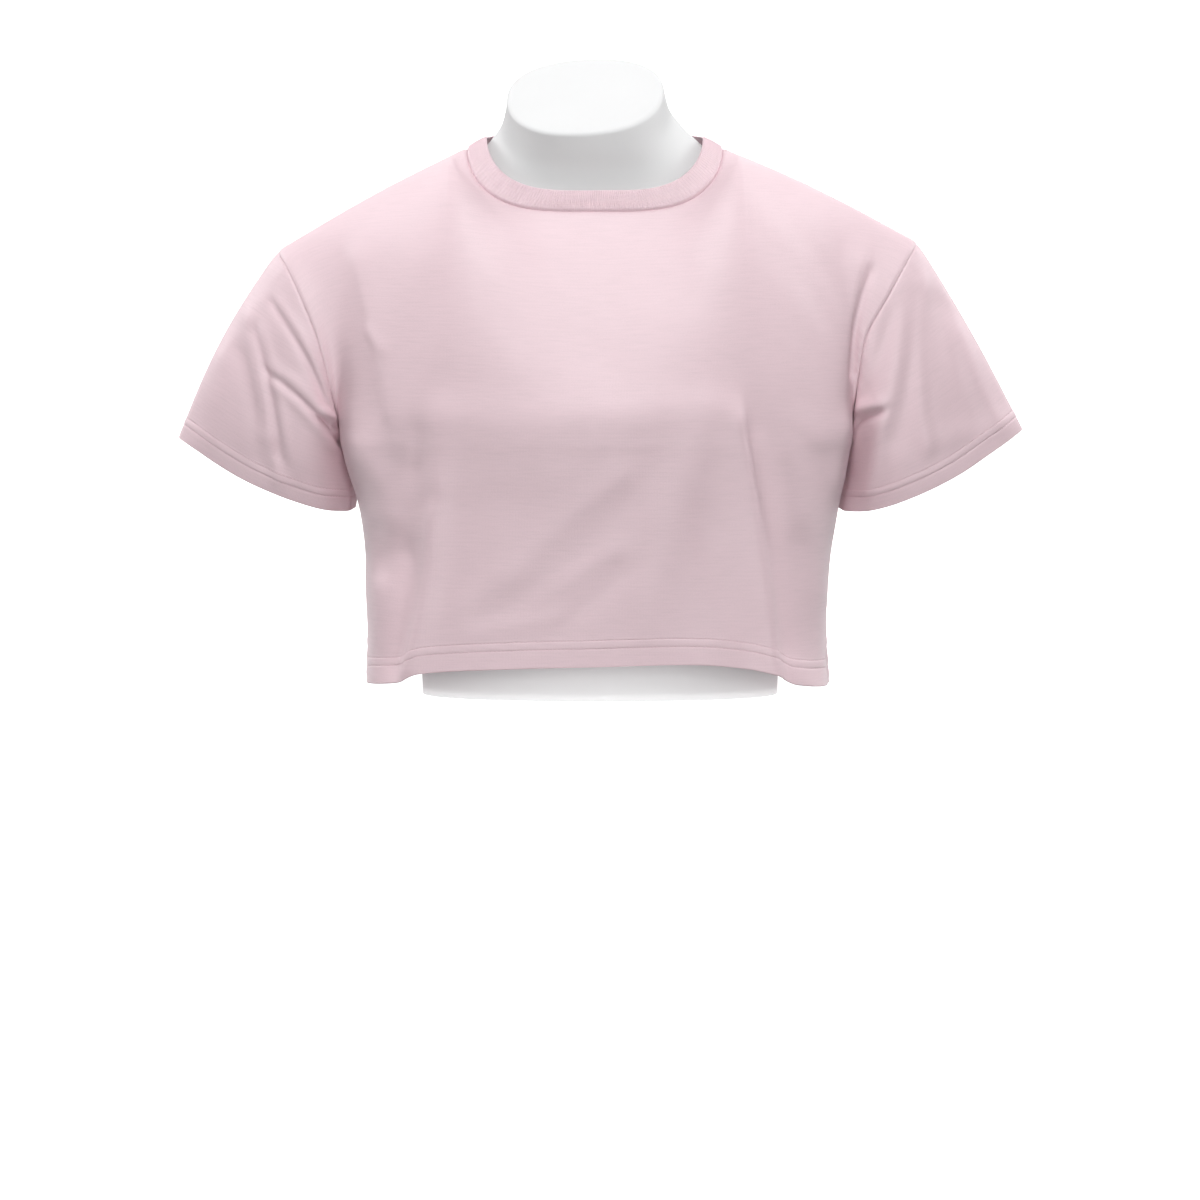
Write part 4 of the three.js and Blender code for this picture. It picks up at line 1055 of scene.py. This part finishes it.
# ---- pieces
class CROPTOP_OT_panel(bpy.types.Operator):
    """Makes the front or the back: a thin jersey panel with its hem, folds and seams"""
    bl_idname = "croptop.panel"
    bl_label = "Body Panel"
    side: bpy.props.EnumProperty(
        name="Side", description="Which panel is made", default="front",
        items=[("front", "Front", "The front panel"), ("back", "Back", "The back panel")])

    def execute(self, context):
        cloth, stitching = context.scene.crop_top_cloth, context.scene.crop_top_stitching
        face, folds, seed, area = {"front": (FRONT, FRONT_FOLDS, 3, 0.205),
                                   "back": (BACK, BACK_FOLDS, 8, 0.208)}[self.side]
        surface = panel_surface(face, folds, stitching, cloth, seed)
        item = wall_from(f"{self.side}_panel", surface, cloth, cloth.hem_depth / MM, False,
                         -face["out"])
        settle(item, "Jersey", [self.side])
        thread = add_hem_thread(context, f"{self.side}_hem_stitches", surface, False)
        return {"FINISHED"}


class CROPTOP_OT_sleeve(bpy.types.Operator):
    """Makes one short sleeve with its cuff hem, folds and seams"""
    bl_idname = "croptop.sleeve"
    bl_label = "Sleeve"
    hand: bpy.props.EnumProperty(
        name="Hand", description="Which sleeve is made", default="left",
        items=[("left", "Left", "At the viewer's left"),
               ("right", "Right", "At the viewer's right")])

    def execute(self, context):
        cloth, stitching = context.scene.crop_top_cloth, context.scene.crop_top_stitching
        hand, seed = {"left": (-1, 5), "right": (1, 11)}[self.hand]
        surface = sleeve_surface(hand, stitching, cloth, seed)
        item = wall_from(f"{self.hand}_sleeve", surface, cloth, cloth.cuff_depth / MM, True,
                         -hand)
        settle(item, "Jersey", [f"sleeve_{self.hand}"])
        thread = add_hem_thread(context, f"{self.hand}_cuff_stitches", surface, True)
        return {"FINISHED"}


class CROPTOP_OT_neckband(bpy.types.Operator):
    """Makes the ribbed neckband, folded over at its top edge"""
    bl_idname = "croptop.neckband"
    bl_label = "Neckband"

    def execute(self, context):
        band = context.scene.crop_top_band
        count = band.ribs * RIB_SAMPLES
        turn = 2 * np.pi * np.arange(count) / count
        turn = turn - BAND_CROWDING * np.sin(2 * turn)
        angle = np.arctan2(np.sin(turn), np.cos(turn))
        at_front = np.abs(angle) <= np.pi / 2
        folded = np.where(at_front, angle, np.sign(angle) * np.pi - angle)
        r = square_radius(folded, NECK_SQUARE)
        aside, ahead = r * np.sin(folded), np.clip(r * np.cos(folded), 0, None)

        def loop(half, z, front, back, front_drop, back_drop):
            return joined(NECK_MIDDLE + half * aside,
                          NECK_Y + np.where(at_front, -front, back) * ahead,
                          z - np.where(at_front, front_drop, back_drop)
                          * ahead ** NECK_DROP_POWER)

        seam = loop(NECK_HALF, NECK_Z, FRONT["neck_depth"], BACK["neck_depth"],
                    FRONT["neck_drop"], BACK["neck_drop"])
        top = loop(BAND_HALF, BAND_Z, BAND_FRONT, BAND_BACK, BAND_DROP, -BAND_BACK_RISE)
        tucked = [-0.1, -0.05]
        across = np.concatenate([tucked, [0, 0.02, 0.05, 0.09, 0.14], np.linspace(0.2, 0.86, 8),
                                 [0.92, 0.96, 0.985, 1.0]])
        base = seam[None] + (top - seam)[None] * across[:, None, None]
        normals = grid_normals(base, True, 1)
        width = run_lengths(base, 0)
        width = width - width[len(tucked)]
        along = run_lengths(np.concatenate([base, base[:, :1]], 1), 1)[:, :-1]
        wave = np.cos(2 * np.pi * np.arange(count) / RIB_SAMPLES)[None, :]
        ribs = (band.rib_height / MM * wave * smooth(width / 2.5)
                * smooth((width[-1:] - width) / 1.5))
        belly = BAND_BELLY * np.sin(np.pi * across)[:, None]
        rise = ribs + belly - seam_sink(width, 2.2, 0.9) + 1.3 * np.minimum(width, 0)
        rise += 0.25 * np.sin(along / 13 + 2 * np.sin(along / 47)) * across[:, None]
        middle = base + normals * rise[..., None]
        half = band.thickness / MM / 2
        edge = np.sqrt(np.clip(1 - across ** 14, 0, 1))[:, None, None]
        outer = middle + normals * half * edge
        inner = middle - normals * (half * edge + HAIR) - normals * ribs[..., None]
        item = cloth_shell("neckband_rib", outer, inner, True, 1, np.stack([along, width], -1))
        settle(item, "Rib", ["neckband"])
        return {"FINISHED"}


class CROPTOP_OT_form(bpy.types.Operator):
    """Makes the smooth limbless dress form with its slanting neck cap"""
    bl_idname = "croptop.form"
    bl_label = "Dress Form"

    def execute(self, context):
        points, triangles = whole_form(context.scene.crop_top_form.edge_round / MM)
        item = mesh_object("dress_form_shell", points, triangles)
        settle(item, "Form", ["dress_form"])
        return {"FINISHED"}


# ---- stage, in metres
FLOOR_DEPTH, FLOOR_RISE, FLOOR_WIDE, FLOOR_NEAR = 3.0, 6.0, 8.0, -6
FLOOR_GLOW = 1.1
TABLE_HALF, TABLE_DEPTH, TABLE_GLOW, TABLE_POINTS = 0.172, 0.116, 1.15, 64
FILL_SHARE = 0.38
SENSOR = 36


def add_stage_piece(stage, name, points, faces, material, glow):
    """A piece of the stage from points in metres."""
    item = mesh_object(name, points / MM, faces)
    item.data.materials.append(stage_material(material, tuple(stage.backdrop), glow))
    return item


def add_floor(stage):
    """The floor, which turns up into a wall behind by a quarter circle of 1 m."""
    bend = np.linspace(0, np.pi / 2, 17)
    start = FLOOR_DEPTH - 1
    profile = np.concatenate([
        np.stack([np.linspace(FLOOR_NEAR, start, 6)[:-1], np.zeros(5)], -1),
        np.stack([start + np.sin(bend), 1 - np.cos(bend)], -1),
        np.stack([np.full(4, FLOOR_DEPTH), np.linspace(1, FLOOR_RISE, 5)[1:]], -1)])
    sides = np.array([[-FLOOR_WIDE, FLOOR_WIDE]])
    points = joined(sides, profile[:, :1], profile[:, 1:] - stage.floor_drop)
    floor = add_stage_piece(stage, "floor", points.reshape(-1, 3),
                            grid_faces(len(profile), 2, False), "Backdrop", FLOOR_GLOW)
    floor.visible_diffuse = False


def add_light_table(stage):
    """A glowing ellipse just under the base, which lights the cloth from below."""
    turn = np.arange(TABLE_POINTS) / TABLE_POINTS * 2 * np.pi
    rim = joined(TABLE_HALF * np.cos(turn), TABLE_DEPTH * np.sin(turn), -stage.floor_drop / 2)
    after = np.roll(np.arange(TABLE_POINTS), -1)
    spokes = np.stack([np.full(TABLE_POINTS, TABLE_POINTS), np.arange(TABLE_POINTS), after], -1)
    add_stage_piece(stage, "light_table", np.concatenate([rim, [rim.mean(0)]]), spokes,
                    "Light Table", TABLE_GLOW)


def add_lights(scene, stage):
    """Even light from all round, and four large soft lamps."""
    world = bpy.data.worlds.new("Studio")
    world.use_nodes = True
    background = world.node_tree.nodes["Background"]
    background.inputs["Color"].default_value = (1, 1, 1, 1)
    background.inputs["Strength"].default_value = stage.ambient
    scene.world = world
    low, high = (0, 0, 0.25), (0, 3, 1.4)
    for name, place, aim, width, power in (
            ("key", (0, -1.9, 2.9), low, 1.6, stage.key_power),
            ("fill", (0, -3.4, 0.5), low, 1.4, stage.key_power * FILL_SHARE),
            ("backdrop left", (-2.6, 0.9, 2.2), high, 1.6, stage.backdrop_power),
            ("backdrop right", (2.6, 0.9, 2.2), high, 1.6, stage.backdrop_power)):
        lamp = bpy.data.lights.new(name, "AREA")
        lamp.shape = "SQUARE"
        lamp.size = width
        lamp.energy = power
        point_at(scene, name, lamp, Vector(place), Vector(aim))


def point_at(scene, name, data, place, aim):
    """An object at a place, turned to look at its aim."""
    item = bpy.data.objects.new(name, data)
    item.location = place
    item.rotation_euler = (aim - place).to_track_quat("-Z", "Y").to_euler()
    scene.collection.objects.link(item)
    return item


class CROPTOP_OT_stage(bpy.types.Operator):
    """Makes the pale floor, the soft lights and the camera"""
    bl_idname = "croptop.stage"
    bl_label = "Stage"

    def execute(self, context):
        scene = context.scene
        stage = scene.crop_top_stage
        add_floor(stage)
        add_light_table(stage)
        add_lights(scene, stage)
        place = Vector((0, -stage.camera_distance, stage.camera_height))
        aim = Vector((0, 0, stage.aim_height))
        lens = bpy.data.cameras.new("camera")
        lens.sensor_width = SENSOR
        lens.lens = SENSOR * (aim - place).length / stage.frame_width
        lens.clip_end = 50
        scene.camera = point_at(scene, "camera", lens, place, aim)
        scene.view_settings.view_transform = "Standard"
        return {"FINISHED"}


class CROPTOP_PT_panel(bpy.types.Panel):
    """Lists the pieces and their sizes"""
    bl_label = "Crop Top"
    bl_idname = "CROPTOP_PT_panel"
    bl_space_type = "VIEW_3D"
    bl_region_type = "UI"
    bl_category = "Crop Top"

    def draw(self, context):
        layout = self.layout
        for side in ("front", "back"):
            layout.operator("croptop.panel", text=f"{side.title()} Panel").side = side
        for hand in ("left", "right"):
            layout.operator("croptop.sleeve", text=f"{hand.title()} Sleeve").hand = hand
        layout.operator("croptop.neckband")
        layout.operator("croptop.form")
        layout.operator("croptop.stage")
        for title, group in (("Cloth", "crop_top_cloth"), ("Stitching", "crop_top_stitching"),
                             ("Neckband", "crop_top_band"), ("Form", "crop_top_form"),
                             ("Stage", "crop_top_stage")):
            box = layout.box()
            box.label(text=title)
            settings = getattr(context.scene, group)
            for name in settings.__annotations__:
                box.prop(settings, name)


GROUPS = {"crop_top_cloth": CropTopCloth, "crop_top_stitching": CropTopStitching,
          "crop_top_band": CropTopBand, "crop_top_form": CropTopForm,
          "crop_top_stage": CropTopStage}
CLASSES = (*GROUPS.values(), CROPTOP_OT_panel, CROPTOP_OT_sleeve, CROPTOP_OT_neckband,
           CROPTOP_OT_form, CROPTOP_OT_stage, CROPTOP_PT_panel)


def register():
    for item in CLASSES:
        bpy.utils.register_class(item)
    for name, group in GROUPS.items():
        setattr(bpy.types.Scene, name, bpy.props.PointerProperty(type=group))


def unregister():
    for name in GROUPS:
        delattr(bpy.types.Scene, name)
    for item in reversed(CLASSES):
        bpy.utils.unregister_class(item)


def main():
    register()
    bpy.ops.croptop.form()
    bpy.ops.croptop.panel(side="front")
    bpy.ops.croptop.panel(side="back")
    bpy.ops.croptop.sleeve(hand="left")
    bpy.ops.croptop.sleeve(hand="right")
    bpy.ops.croptop.neckband()
    bpy.ops.croptop.stage()


if __name__ == "__main__":
    main()
